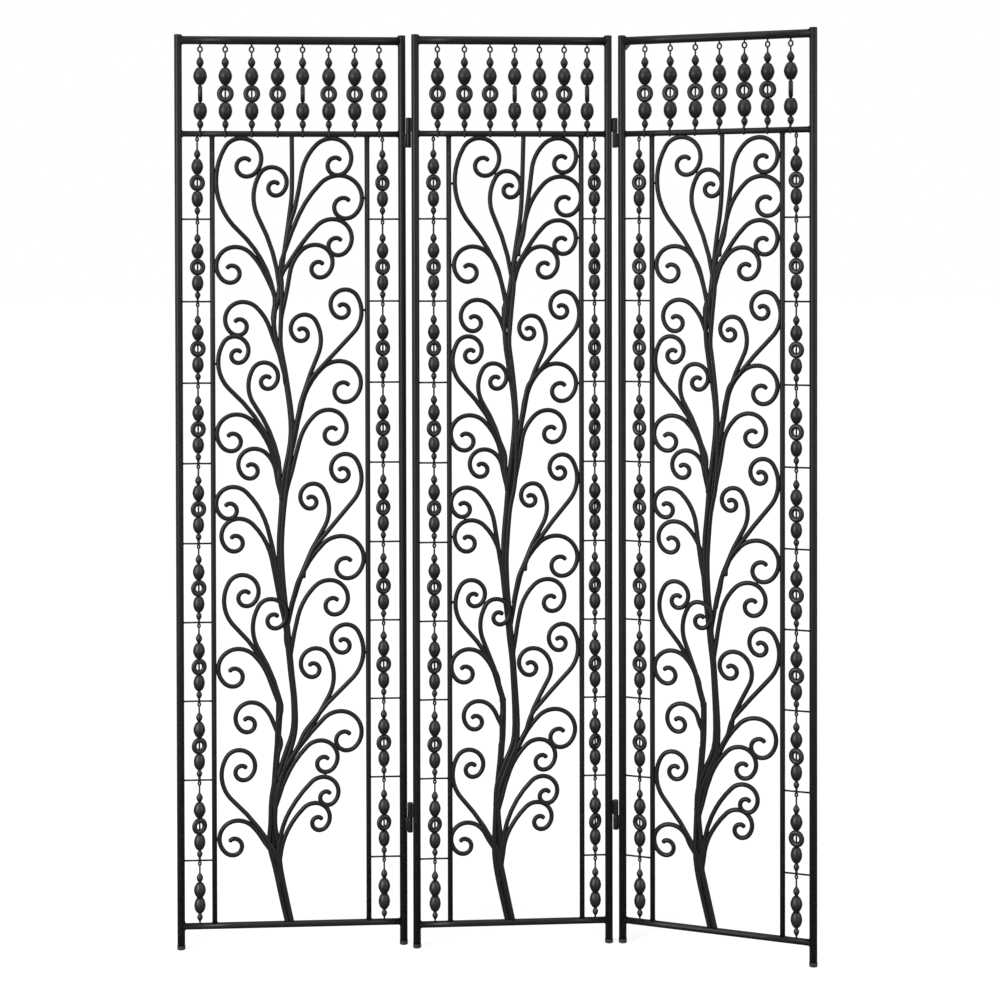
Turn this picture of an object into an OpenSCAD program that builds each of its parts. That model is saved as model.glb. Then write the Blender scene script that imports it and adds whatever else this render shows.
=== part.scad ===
// Three-leaf folding screen of welded round bar: tree-shaped scrollwork, strung beads, barrel hinges.
// Millimetres. X runs along the screen, +Y to the back, +Z up; the origin is at the bottom centre.

/* [Leaves] */
// Height of the posts
leaf_h = 1780; // [1770:1:1800]
// Width of the left leaf between its post centres
wide_w = 433; // [425:1:445]
// Width of the middle and right leaves between their post centres
narrow_w = 377; // [370:1:390]
// Diameter of the posts
post_d = 14; // [13:0.5:15]

/* [Rails] */
// Diameter of the top rail
top_rail_d = 15.5; // [14:0.5:16]
// Depth of the top rail's centre below the tops of the posts
top_drop = 11; // [9:1:14]
// Height of the bead band between the centres of the top and middle rails
band_h = 181.4; // [180:0.2:184]
// Diameter of the rail below the top row of beads
mid_rail_d = 10.8; // [10:0.2:12]
// Diameter of the bottom rail
low_rail_d = 12; // [11:0.5:13]
// Height of the bottom rail's centre
low_rail_z = 44.7; // [43:0.1:46]
// Diameter of the two inner uprights
upright_d = 9; // [8.4:0.2:9.6]
// Diameter of the cross rods in the bead columns
cross_d = 3.2; // [2.6:0.2:3.4]

/* [Scrollwork] */
// Width of the scroll bar across its bends
bar_w = 8; // [7:0.2:8.4]
// Thickness of the scroll bar from front to back
bar_t = 7.4; // [6.6:0.2:8]

/* [Beads] */
// Diameter of the bead wires
wire_d = 3; // [2.6:0.1:3.2]
// Diameter of the long beads in the top row
egg_d = 27.2; // [26:0.2:28]
// Outer diameter of the rings in the top row
ring_d = 35; // [34:0.5:35]
// Diameter of the long beads in the side columns
side_egg_d = 23.4; // [22:0.2:24]
// Outer diameter of the rings in the side columns
side_ring_d = 33; // [32:0.5:33]

/* [Hinges] */
// Outer diameter of a hinge barrel
barrel_d = 10.4; // [10:0.2:11]
// Height of each barrel
barrel_h = 29; // [27:1:31]
// Diameter of the hinge pins
pin_d = 5; // [4.5:0.1:5.5]
// Radial running clearance of a pin in the lower barrel
pin_gap = 0.05; // [0.03:0.01:0.08]

/* [Stance] */
// Turn of the left leaf from the screen's line
left_turn = 3.7; // [2:0.1:6]
// Turn of the middle leaf from the screen's line
middle_turn = 4; // [2:0.1:6]
// Turn of the right leaf from the screen's line
right_turn = -20.5; // [-24:0.1:-16]

/* [Hidden] */
$fn = 48;
LEAVES = ["left_leaf", "middle_leaf", "right_leaf"];
PIECES = ["left_post", "right_post", "top_rail", "middle_rail", "bottom_rail",
  "left_upright", "right_upright", "left_cross_rods", "right_cross_rods",
  "stem", "left_scrolls", "right_scrolls", "bead_wires", "top_beads",
  "left_column_beads", "right_column_beads", "foot_caps"];

// ---- layout within a leaf: x from the left post's centre ----
// The places below and the scroll tables were chosen on leaves of these widths between rails at these
// heights. On a leaf of another size they keep their share of the width and of the height.
chosen_w = [433, 377, 377];
chosen_rails = [44.7, 1587.6];
chosen_band = 181.4;
widths = [wide_w, narrow_w, narrow_w];
top_rail_z = leaf_h - top_drop;
mid_rail_z = top_rail_z - band_h;
z_share = (mid_rail_z - low_rail_z) / (chosen_rails[1] - chosen_rails[0]);
band_share = band_h / chosen_band;
function at_x(i, x) = x * widths[i] / chosen_w[i];
function at_z(z) = low_rail_z + (z - chosen_rails[0]) * z_share;
function places(rows) = [for (i = [0:2]) [for (x = rows[i]) at_x(i, x)]];
uprights = places([[65, 365], [65, 324], [61, 318]]);
columns = places([[36.3, 395], [35.2, 350], [35, 344.6]]);
strings = places([[42.5, 91, 142, 192, 240.5, 291, 341.5, 389], [43.5, 96, 146, 194, 242.5, 291, 336],
  [47, 98, 148, 195.5, 244.5, 289.5, 334]]);
// rings that stand edge on to the front: [string, turn]
turned = [[[0, 95], [4, 92]], [[3, 85], [6, 83]], [[6, 102]]];
function edge_turn(rows, k) = let (own = [for (r = rows) if (r[0] == k) r[1]]) len(own) > 0 ? own[0] : 0;
// turn of the rings in each leaf's left and right column
ring_turns = [[23, 23], [25, 34], [-14, -10]];
rungs = [for (z = [1422, 1262, 1103.5, 947, 791.5, 637.5, 484, 330, 173]) at_z(z)];
ring_t = 8.7;
side_ring_t = 8.6;
play = 0.1;

// ---- plan of the standing screen ----
foot_wall = 1;
foot_d = post_d + 2 * foot_wall;
foot_h = 8;
foot_floor = 3;
turns = [left_turn, middle_turn, right_turn];
// step from the left leaf's right post to the middle leaf's left post, and the like on the right
left_step = [27, -20];
right_step = [27, 0];
function along(i) = [cos(turns[i]), sin(turns[i])];
rel_1r = [0, 0];
rel_1l = rel_1r - widths[1] * along(1);
rel_0r = rel_1l - left_step;
rel_0l = rel_0r - widths[0] * along(0);
rel_2l = rel_1r + right_step;
rel_2r = rel_2l + widths[2] * along(2);
// the turned ring of the middle leaf's last string reaches furthest back
back_y = -(narrow_w - strings[1][6]) * sin(middle_turn)
  + (ring_d - ring_t) / 2 * sin(turned[1][1][1] + middle_turn) + ring_t / 2;
shift = -[(rel_0l[0] + rel_2r[0]) / 2, (rel_2r[1] - foot_d / 2 + back_y) / 2];
leaf_at = [rel_0l + shift, rel_1l + shift, rel_2l + shift];
axis_at = [rel_0r + left_step / 2 + shift, rel_1r + right_step / 2 + shift];

// ---- bent bar: arcs that run on from each other, drawn as one outline ----
function cross2(a, b) = a[0] * b[1] - a[1] * b[0];
function dir(a) = [cos(a), sin(a)];
// point where two tangent arcs from p0 to p1 meet, their tangent lengths in the ratio k
function meet(p0, t0, p1, t1, k) = let (
  v = p1 - p0, b = k * (v * t0) + v * t1, q = 2 * k * (1 - t0 * t1),
  e = (-b + sqrt(b * b + q * (v * v))) / q, d = k * e)
  (e * (p0 + d * t0) + d * (p1 - e * t1)) / (d + e);
// the arc that leaves a point along heading h over the chord c: [radius, turn]
function arc_over(h, c) = let (a = 2 * atan2(cross2(dir(h), c), dir(h) * c))
  abs(a) < 1 ? [norm(c), 0] : [norm(c) / (2 * sin(abs(a) / 2)), a];
function arc_end(p, h, s) = s[1] == 0 ? p + s[0] * dir(h)
  : let (n = sign(s[1]) * dir(h + 90)) p + s[0] * (n - sign(s[1]) * dir(h + s[1] + 90));
// points and headings along a list of arcs, one every 14 degrees or so
function bend(p, h, s, i = 0) = i == len(s) ? [[p, h]] : let (n = max(1, ceil(abs(s[i][1]) / 14)))
  concat([for (k = [0:n - 1]) [arc_end(p, h, [s[i][0] * (s[i][1] * k == 0 ? k / n : 1), s[i][1] * k / n]),
    h + s[i][1] * k / n]], bend(arc_end(p, h, s[i]), h + s[i][1], s, i + 1));
// outline of a bar of width w along such points
function outline(m, w) = let (n = len(m)) concat(
  [for (k = [0:n - 1]) m[k][0] + w / 2 * dir(m[k][1] + 90)],
  [for (k = [n - 1:-1:0]) m[k][0] - w / 2 * dir(m[k][1] + 90)]);
// a curl closes in quarter turns that tighten
function curl(s) = [[s, 90], [1.02 * s, 45], [0.62 * s, 45], [0.49 * s, 90], [0.42 * s, 90], [0.28 * s, 50]];
// scroll = [side, top x, top z, size, root x, root z, lean from upright, ratio]; the bar comes up
// from its root, rounds the shoulder before the top and closes in the curl; a scroll whose curl
// turns back over its own root has the longer and tighter shoulder
function scroll_steps(c) = let (
  back = c[0] * (c[1] - c[4]) < 0, turn = back ? 60 : 45, r = (back ? 0.92 : 1.15) * c[3],
  p0 = [c[4], c[5]], h0 = 90 - c[6], h1 = c[0] > 0 ? turn : 180 - turn,
  p1 = [c[1] - c[0] * r * sin(turn), c[2] - r * (1 - cos(turn))],
  m = meet(p0, dir(h0), p1, dir(h1), is_undef(c[7]) ? 1 : c[7]),
  a = arc_over(h0, m - p0), b = arc_over(h0 + a[1], p1 - m))
  concat([a, b, [r, -c[0] * turn]], [for (q = curl(c[3])) [q[0], -c[0] * q[1]]]);
module scroll(c) polygon(outline(bend([c[4], c[5]], 90 - c[6], scroll_steps(c)), bar_w));
// turns a flat drawing of x and z into a plate of the bar's thickness
module upright_plate(t) rotate([90, 0, 0]) linear_extrude(height = t, center = true) children();

wide_left = [
  [1, 121, 1579, 39, 183, 1280, -12, 0.7], [1, 180, 1523, 29, 194, 1290, -5, 1.4],
  [-1, 109, 1368, 36.5, 176, 1295, -24], [-1, 123, 1261, 34, 192, 1163, -21],
  [1, 107, 1194, 27, 190, 950, -18, 1.4], [1, 164, 1143, 27, 191, 955, -12, 1.4],
  [-1, 110, 1042, 37.5, 192, 925, -14], [-1, 144, 975, 30.5, 195, 888, -17],
  [-1, 103, 901, 32.5, 186, 745, -8], [-1, 114, 839, 33.5, 193, 678, -10],
  [1, 120, 729, 32, 172, 540, -28], [1, 176, 682, 30, 191, 490, -14],
  [-1, 112, 585, 38.5, 190, 478, -21], [-1, 137, 480, 30.5, 189, 418, -25],
  [1, 113, 387, 31, 172, 203, -32], [-1, 110, 249, 35.5, 172, 192, -39]];
wide_right = [
  [1, 297, 1579, 37.5, 225, 1445, 13], [1, 311, 1507, 44, 205, 1360, 18],
  [1, 298, 1422, 37, 213, 1337, 32], [1, 264, 1372, 33.5, 205, 1265, 12],
  [-1, 323, 1284, 29, 276, 1134, 43], [-1, 243, 1236, 27, 242, 1086, 17],
  [1, 310, 1145, 42, 222, 990, 10], [1, 289, 1050, 35, 218, 933, 13],
  [-1, 322, 963, 28, 275, 799, 40], [-1, 259, 906, 25.5, 238, 736, 20],
  [1, 313, 803, 43.5, 208, 630, 11], [1, 290, 717, 35.5, 215, 580, 8],
  [-1, 322, 630, 29, 246, 428, 36], [-1, 263, 584, 29.5, 243, 411, 31],
  [1, 311, 460, 40.5, 192, 324, 22], [1, 272, 403, 32.5, 189, 290, 15],
  [1, 277, 332, 29, 191, 202, 5], [1, 261, 281, 28, 193, 180, 6]];
narrow_left = [
  [1, 125, 1579, 38.5, 172, 1280, -12, 0.8], [1, 178, 1515, 27, 187, 1310, -8, 1.4],
  [-1, 111, 1368, 36, 173, 1272, -11], [-1, 120, 1264, 32, 180, 1180, -16],
  [1, 102, 1193, 26.5, 169, 975, -20, 1.4], [1, 151, 1140, 26, 170, 960, -10, 1.4],
  [-1, 104, 1039, 36, 176, 905, -8], [-1, 133, 972, 28, 174, 912, -14],
  [-1, 98, 898, 30, 163, 760, -8], [-1, 107, 834, 32, 172, 690, -5],
  [1, 107, 717, 27, 153, 540, -25], [1, 156, 680, 26, 168, 490, -14, 1.4],
  [-1, 102, 582, 34, 168, 481, -18], [-1, 121, 480, 29, 164, 436, -28],
  [1, 102, 385, 28, 148, 205, -28], [-1, 99, 242, 32, 145, 200, -36]];
narrow_right = [
  [1, 279, 1579, 35, 212, 1405, 9, 2], [1, 283, 1504, 40, 199, 1363, 15],
  [1, 279, 1419, 34.5, 207, 1345, 30], [1, 246, 1368, 32, 184, 1268, 16],
  [-1, 290, 1280, 27, 239, 1122, 38], [-1, 226, 1233, 24, 220, 1090, 17],
  [1, 275, 1139, 38.5, 204, 1010, 12], [1, 258, 1048, 33, 197, 930, 12],
  [-1, 286, 961, 25, 239, 794, 36], [-1, 228, 905, 23, 211, 748, 20],
  [1, 274, 802, 41.5, 188, 650, 8], [1, 257, 717, 33, 193, 598, 7],
  [-1, 286, 629, 27, 230, 460, 40], [-1, 228, 582, 27.5, 228, 462, 25],
  [1, 271, 462, 39.5, 185, 356, 22], [1, 240, 403, 31.5, 166, 288, 12],
  [1, 247, 331, 28, 168, 197, 4], [1, 236, 280, 28, 169, 183, 4]];
// the right leaf's lower right scrolls stand a little higher than the middle leaf's
lifts = [-4, -3, -2, -3, 0, -1, 0, -1, 0, -2, 2, 5, 7, 6, 1, 2, 3, 4];
right_right = [for (k = [0:len(narrow_right) - 1]) let (c = narrow_right[k], up = lifts[k])
  [c[0], c[1], c[2] + up, c[3], c[4], c[5] + up / 2, c[6], c[7]]];
// and its lower left ones nearer to the stem
left_sways = [0, 0, 0, 0, 1, 1, 2, 1, 3, 3, 4, 3, 3, 4, 4, 2];
right_left = [for (k = [0:len(narrow_left) - 1]) let (c = narrow_left[k])
  [c[0], c[1] + left_sways[k], c[2], c[3], c[4], c[5], c[6], c[7]]];
// edges of the stem, from the bottom rail up: [z, left edge x, right edge x]
wide_stem = [[44, 203, 219], [96, 191, 208], [153, 179, 197], [200, 168, 192], [245, 170, 186],
  [296, 172, 191], [350, 184, 206], [417, 211, 226], [478, 214, 227], [540, 208, 221],
  [640, 198, 212], [726, 189, 204], [789, 187, 202], [851, 191, 206], [914, 196, 213],
  [1009, 211, 224], [1119, 199, 211], [1179, 184, 200], [1240, 175, 202], [1300, 172, 204]];
narrow_stem = [[44, 174, 192], [126, 156, 175], [169, 149, 167], [203, 148, 168], [270, 150, 163],
  [313, 152, 168], [356, 165, 184], [413, 186, 202], [539, 183, 196], [608, 176, 190],
  [654, 172, 187], [697, 168, 183], [751, 166, 181], [797, 166, 183], [855, 171, 188],
  [912, 176, 198], [1008, 187, 201], [1066, 186, 199], [1137, 176, 192], [1180, 170, 186],
  [1240, 167, 191], [1300, 163, 197]];
// the right leaf's stem leans a little further at its foot
right_stem = [for (r = narrow_stem) let (out = max(0, (213 - r[0]) / 40)) [r[0], r[1] + out, r[2] + out]];
// left limb of the stem, [z, x] of its centre
wide_limb = [[325, 182], [365, 185], [402, 188], [440, 190], [480, 191]];
narrow_limb = [[313, 158.5], [340, 161], [375, 165], [413, 168], [450, 169], [485, 169]];
// upright that runs from the middle rail into the stem, [z, x] of its centre
wide_leader = [[1290, 194], [1380, 207], [1430, 214], [1480, 219], [1586, 219]];
narrow_leader = [[1290, 184], [1380, 197.5], [1430, 205], [1480, 208], [1586, 211]];
right_leader = [[1290, 184], [1380, 194.5], [1430, 201.5], [1480, 205], [1586, 206]];
function placed(i, c) = [c[0], at_x(i, c[1]), at_z(c[2]), at_x(i, c[3]), at_x(i, c[4]), at_z(c[5]),
  c[6], c[7]];
function bar_rows(i, rows) = [for (r = rows)
  [for (k = [0:len(r) - 1]) k == 0 ? at_z(r[0]) : at_x(i, r[k])]];
chosen_scrolls = [[wide_left, wide_right], [narrow_left, narrow_right], [right_left, right_right]];
scroll_sets = [for (i = [0:2]) [for (side = chosen_scrolls[i]) [for (c = side) placed(i, c)]]];
stems = [bar_rows(0, wide_stem), bar_rows(1, narrow_stem), bar_rows(2, right_stem)];
limbs = [bar_rows(0, wide_limb), bar_rows(1, narrow_limb), bar_rows(2, narrow_limb)];
leaders = [bar_rows(0, wide_leader), bar_rows(1, narrow_leader), bar_rows(2, right_leader)];
nudge = [0, 0, -5];

// ---- bead outlines: [share of the widest radius, share of the height], lower end first ----
high_egg = [[0.4, 0], [0.53, 0.04], [0.71, 0.13], [0.88, 0.26], [0.98, 0.4], [1, 0.5], [0.97, 0.63],
  [0.88, 0.76], [0.74, 0.87], [0.58, 0.95], [0.4, 1]];
low_egg = [[0.38, 0], [0.5, 0.04], [0.66, 0.1], [0.83, 0.2], [0.95, 0.34], [1, 0.5], [0.97, 0.66],
  [0.86, 0.82], [0.73, 0.92], [0.52, 1]];
drop = [[0.36, 0], [0.48, 0.07], [0.7, 0.2], [0.92, 0.37], [1, 0.49], [0.95, 0.62], [0.75, 0.78],
  [0.5, 0.92], [0.36, 1]];
// bead of revolution from z up, height h, widest radius r, bored for the wire
module bead(form, z, h, r) translate([0, 0, z + play / 2]) rotate_extrude() polygon(concat(
  [[wire_d / 2, 0]], [for (p = form) [p[0] * r, p[1] * (h - play)]], [[wire_d / 2, h - play]]));
// ring that stands on edge, bored across for the wire
module ring(outer, t, turn = 0) rotate([0, 0, turn]) difference() {
  rotate([90, 0, 0]) rotate_extrude() translate([(outer - t) / 2, 0]) circle(d = t);
  cylinder(d = wire_d, h = outer + 2, center = true);
}

// a string of the top band, k times its chosen height
module top_string(turn, k) translate([0, 0, mid_rail_z + 9.4 * k]) {
  bead(drop, 0, 18 * k, 6.3);
  bead(low_egg, 18 * k, 32.8 * k, egg_d / 2);
  translate([0, 0, 50.8 * k + ring_d * k / 2]) ring(ring_d * k - play, ring_t, turn);
  bead(high_egg, (50.8 + ring_d) * k, 32.8 * k, egg_d / 2);
  bead(drop, (83.6 + ring_d) * k, 20.4 * k, 7.2);
}
// a short string of a side column
module column_bay(low, last, k, turn) translate([0, 0, low + 4.8 * k]) {
  bead(drop, 0, 15.5 * k, 5.3);
  bead(low_egg, 15.5 * k, 30 * k, side_egg_d / 2);
  over = last ? 0 : side_ring_d * k;
  if (!last) translate([0, 0, 45.5 * k + over / 2]) ring(over - play, side_ring_t, turn);
  bead(high_egg, 45.5 * k + over, 30 * k, side_egg_d / 2);
  bead(drop, 75.5 * k + over, 18 * k, 6);
}
bay_lows = concat(rungs, [low_rail_z + low_rail_d / 2 - cross_d / 2]);
bay_tops = concat([mid_rail_z - mid_rail_d / 2 + cross_d / 2], rungs);

// ---- pieces of a leaf ----
ink = [0.13, 0.13, 0.135];
module in_leaf(i) translate([leaf_at[i][0], leaf_at[i][1], 0]) rotate([0, 0, turns[i]]) children();
module bar(x, z0, z1, d) translate([x, 0, z0]) cylinder(d = d, h = z1 - z0);
module rail(i, z, d) translate([post_d / 4, 0, z]) rotate([0, 90, 0])
  cylinder(d = d, h = widths[i] - post_d / 2);
module post(x) color(ink) bar(x, foot_floor, leaf_h, post_d);
module upright(x) color(ink) bar(x, low_rail_z + 4, mid_rail_z - 3.5, upright_d);
module cross_rods(x0, x1) color(ink) for (z = rungs)
  translate([x0, 0, z]) rotate([0, 90, 0]) cylinder(d = cross_d, h = x1 - x0);
module strip(m, w) polygon(concat([for (p = m) [p[1] - w / 2, p[0]]],
  [for (k = [len(m) - 1:-1:0]) [m[k][1] + w / 2, m[k][0]]]));
module stem(i) color(ink) translate([nudge[i], 0, 0]) upright_plate(bar_t + 2) union() {
  polygon(concat([for (p = stems[i]) [p[1], p[0]]],
    [for (k = [len(stems[i]) - 1:-1:0]) [stems[i][k][2], stems[i][k][0]]]));
  strip(limbs[i], 12);
  strip(leaders[i], bar_w);
}
module scrolls(i, side) color(ink) translate([nudge[i], 0, 0]) upright_plate(bar_t)
  union() { for (c = scroll_sets[i][side]) scroll(c); }
module eye_wire(z0, z1, r) {
  bar(0, z0, z1 - 2 * r - 1, wire_d);
  translate([0, 0, z1 - r - 1]) rotate([90, 0, 0]) rotate_extrude() translate([r, 0]) circle(d = 2.2);
}
module bead_wires(i) color(ink) {
  for (x = strings[i]) translate([x, 0, 0]) eye_wire(mid_rail_z + 4, top_rail_z - top_rail_d / 2 + 0.3, 5.2);
  for (x = columns[i]) for (k = [0:len(bay_lows) - 1])
    translate([x, 0, 0]) eye_wire(bay_lows[k], bay_tops[k] - cross_d / 2 + 0.3, 2.6);
}
module top_beads(i) color(ink) for (k = [0:len(strings[i]) - 1]) translate([strings[i][k], 0, 0])
  top_string(edge_turn(turned[i], k), band_share);
module column_beads(i, side) color(ink) for (k = [0:len(bay_lows) - 1])
  translate([columns[i][side], 0, 0])
    column_bay(bay_lows[k], k == len(bay_lows) - 1, z_share, ring_turns[i][side]);
module foot_cap(x) translate([x, 0, 0]) difference() {
  rotate_extrude() union() {
    translate([0, 1.5]) square([foot_d / 2, foot_h - 1.5]);
    square([foot_d / 2 - 1.5, 3]);
    intersection() { translate([foot_d / 2 - 1.5, 1.5]) circle(1.5); square([foot_d, 3]); }
  }
  translate([0, 0, foot_floor]) cylinder(d = post_d, h = foot_h);
}
module foot_caps(i) color([0.09, 0.09, 0.09]) { foot_cap(0); foot_cap(widths[i]); }

module leaf_piece(i, p) in_leaf(i) {
  if (p == "left_post") post(0);
  if (p == "right_post") post(widths[i]);
  if (p == "top_rail") color(ink) rail(i, top_rail_z, top_rail_d);
  if (p == "middle_rail") color(ink) rail(i, mid_rail_z, mid_rail_d);
  if (p == "bottom_rail") color(ink) rail(i, low_rail_z, low_rail_d);
  if (p == "left_upright") upright(uprights[i][0]);
  if (p == "right_upright") upright(uprights[i][1]);
  if (p == "left_cross_rods") cross_rods(post_d / 2 - 2, uprights[i][0] - 2);
  if (p == "right_cross_rods") cross_rods(uprights[i][1] + 2, widths[i] - post_d / 2 + 2);
  if (p == "stem") stem(i);
  if (p == "left_scrolls") scrolls(i, 0);
  if (p == "right_scrolls") scrolls(i, 1);
  if (p == "bead_wires") bead_wires(i);
  if (p == "top_beads") top_beads(i);
  if (p == "left_column_beads") column_beads(i, 0);
  if (p == "right_column_beads") column_beads(i, 1);
  if (p == "foot_caps") foot_caps(i);
}

// ---- hinges: a barrel on each post, one above the other on a common pin ----
hinge_z = [at_z(252), mid_rail_z + 2.4];
face_gap = 0.3;
// barrel on the axis with its web to the post's centre, from z up
module barrel(axis, from, z, bore) color(ink) translate([axis[0], axis[1], z]) difference() {
  union() {
    cylinder(d = barrel_d, h = barrel_h);
    reach = norm(from - axis);
    rotate([0, 0, atan2(from[1] - axis[1], from[0] - axis[0])])
      translate([3.6, -2.5, 1]) cube([reach - 3.6 - post_d / 2 + 2, 5, barrel_h - 2]);
  }
  translate([0, 0, -1]) cylinder(d = bore, h = barrel_h + 2);
}
function post_at(i, side) = leaf_at[i] + side * widths[i] * along(i);
module upper_barrels(a, from) for (z = hinge_z) barrel(a, from, z + face_gap / 2, pin_d - 0.04);
module lower_barrels(a, from) for (z = hinge_z)
  barrel(a, from, z - barrel_h - face_gap / 2, pin_d + 2 * pin_gap);
module pins(a) color([0.3, 0.3, 0.3]) for (z = hinge_z)
  translate([a[0], a[1], z - barrel_h + 1]) cylinder(d = pin_d, h = 2 * barrel_h - 2);
module gusset() color(ink) in_leaf(2) upright_plate(4)
  translate([post_d / 2, top_rail_z - top_rail_d / 2])
    polygon([[-2, 3.75], [10, 3.75], [10, -1], [2, -10], [-2, -10]]);

for (i = [0:2]) for (p = PIECES)
  leaf_piece(i, p);
lower_barrels(axis_at[0], post_at(0, 1));  // left_hinge_lower_barrels
upper_barrels(axis_at[0], post_at(1, 0));  // left_hinge_upper_barrels
pins(axis_at[0]);  // left_hinge_pins
lower_barrels(axis_at[1], post_at(2, 0));  // right_hinge_lower_barrels
upper_barrels(axis_at[1], post_at(1, 1));  // right_hinge_upper_barrels
pins(axis_at[1]);  // right_hinge_pins
gusset();  // right_leaf_corner_gusset
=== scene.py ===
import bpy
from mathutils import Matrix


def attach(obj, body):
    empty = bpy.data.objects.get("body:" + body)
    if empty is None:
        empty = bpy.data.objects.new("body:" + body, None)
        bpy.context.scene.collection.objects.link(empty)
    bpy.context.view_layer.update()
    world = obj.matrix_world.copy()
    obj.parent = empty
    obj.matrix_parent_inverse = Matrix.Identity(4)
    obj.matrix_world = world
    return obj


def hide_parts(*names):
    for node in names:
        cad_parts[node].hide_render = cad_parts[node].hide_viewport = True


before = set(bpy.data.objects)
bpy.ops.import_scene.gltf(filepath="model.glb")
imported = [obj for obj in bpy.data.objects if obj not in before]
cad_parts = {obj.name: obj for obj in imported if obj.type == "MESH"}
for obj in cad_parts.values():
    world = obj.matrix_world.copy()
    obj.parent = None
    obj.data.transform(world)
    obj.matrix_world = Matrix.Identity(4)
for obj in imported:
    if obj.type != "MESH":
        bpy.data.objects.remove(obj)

"""Looks for a folding screen of welded bar: bent scrolls, strung beads, barrel hinges and welds.

Sizes are in millimetres in a leaf's own plane: u runs from the centre of the leaf's left post to
its right post, w to the back and z up. Leaf.place turns them into metres in the row frame.
"""

import logging
import math
import random
from dataclasses import dataclass, field, replace
from enum import Enum

import bpy
import numpy as np
from mathutils import Matrix, Vector

LOG = logging.getLogger("screen")
MM = 0.001
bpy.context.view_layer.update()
Pair = tuple[float, float]
Point = tuple[float, float, float]
Colour = tuple[float, float, float]
Path = list[Point]
Outline = list[Pair]
Socket = bpy.types.NodeSocket
Tree = bpy.types.NodeTree


# ---------------------------------------------------------------- meshes


DOME_STEPS = (0.4, 0.75, 0.95)
FLAT_ENDS = (0.0, 0.0)
AXIS_R = 0.5
WELD_STEPS, WELD_ROWS = 12, 7
WELD_SWELL, WELD_RIPPLE, WELD_LEAN = (0.88, 1.12), 0.07, (-20, 20)


class Sides(Enum):
    """Points around each kind of bar or turned piece."""

    POST = 32
    RAIL = 28
    UPRIGHT = 22
    SCROLL = 14
    ROD = 12
    WIRE = 8
    WIRE_FOOT = 10
    BEAD = 26
    BARREL = 36


class Weld(Enum):
    """Half sizes of the weld lumps, across, in depth and along, in millimetres."""

    HOOK = (1.9, 1.9, 2.6)
    TWIST = (1.7, 1.7, 3.0)
    WIRE_FOOT = (2.1, 2.6, 2.4)
    UPRIGHT_END = (1.5, 2.6, 1.5)
    ROD_END = (1.3, 2.1, 2.1)
    STRING_FOOT = (2.7, 2.9, 6.2)
    TAIL_END = (3.6, 3.8, 6.5)
    SCROLLS = (2.3, 2.6, 2.3)
    SCROLL_TO_UPRIGHT = (2.2, 2.3, 2.8)
    SCROLL_TO_RAIL = (5.0, 2.4, 1.5)
    BARREL = (1.7, 1.1, 2.1)


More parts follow.
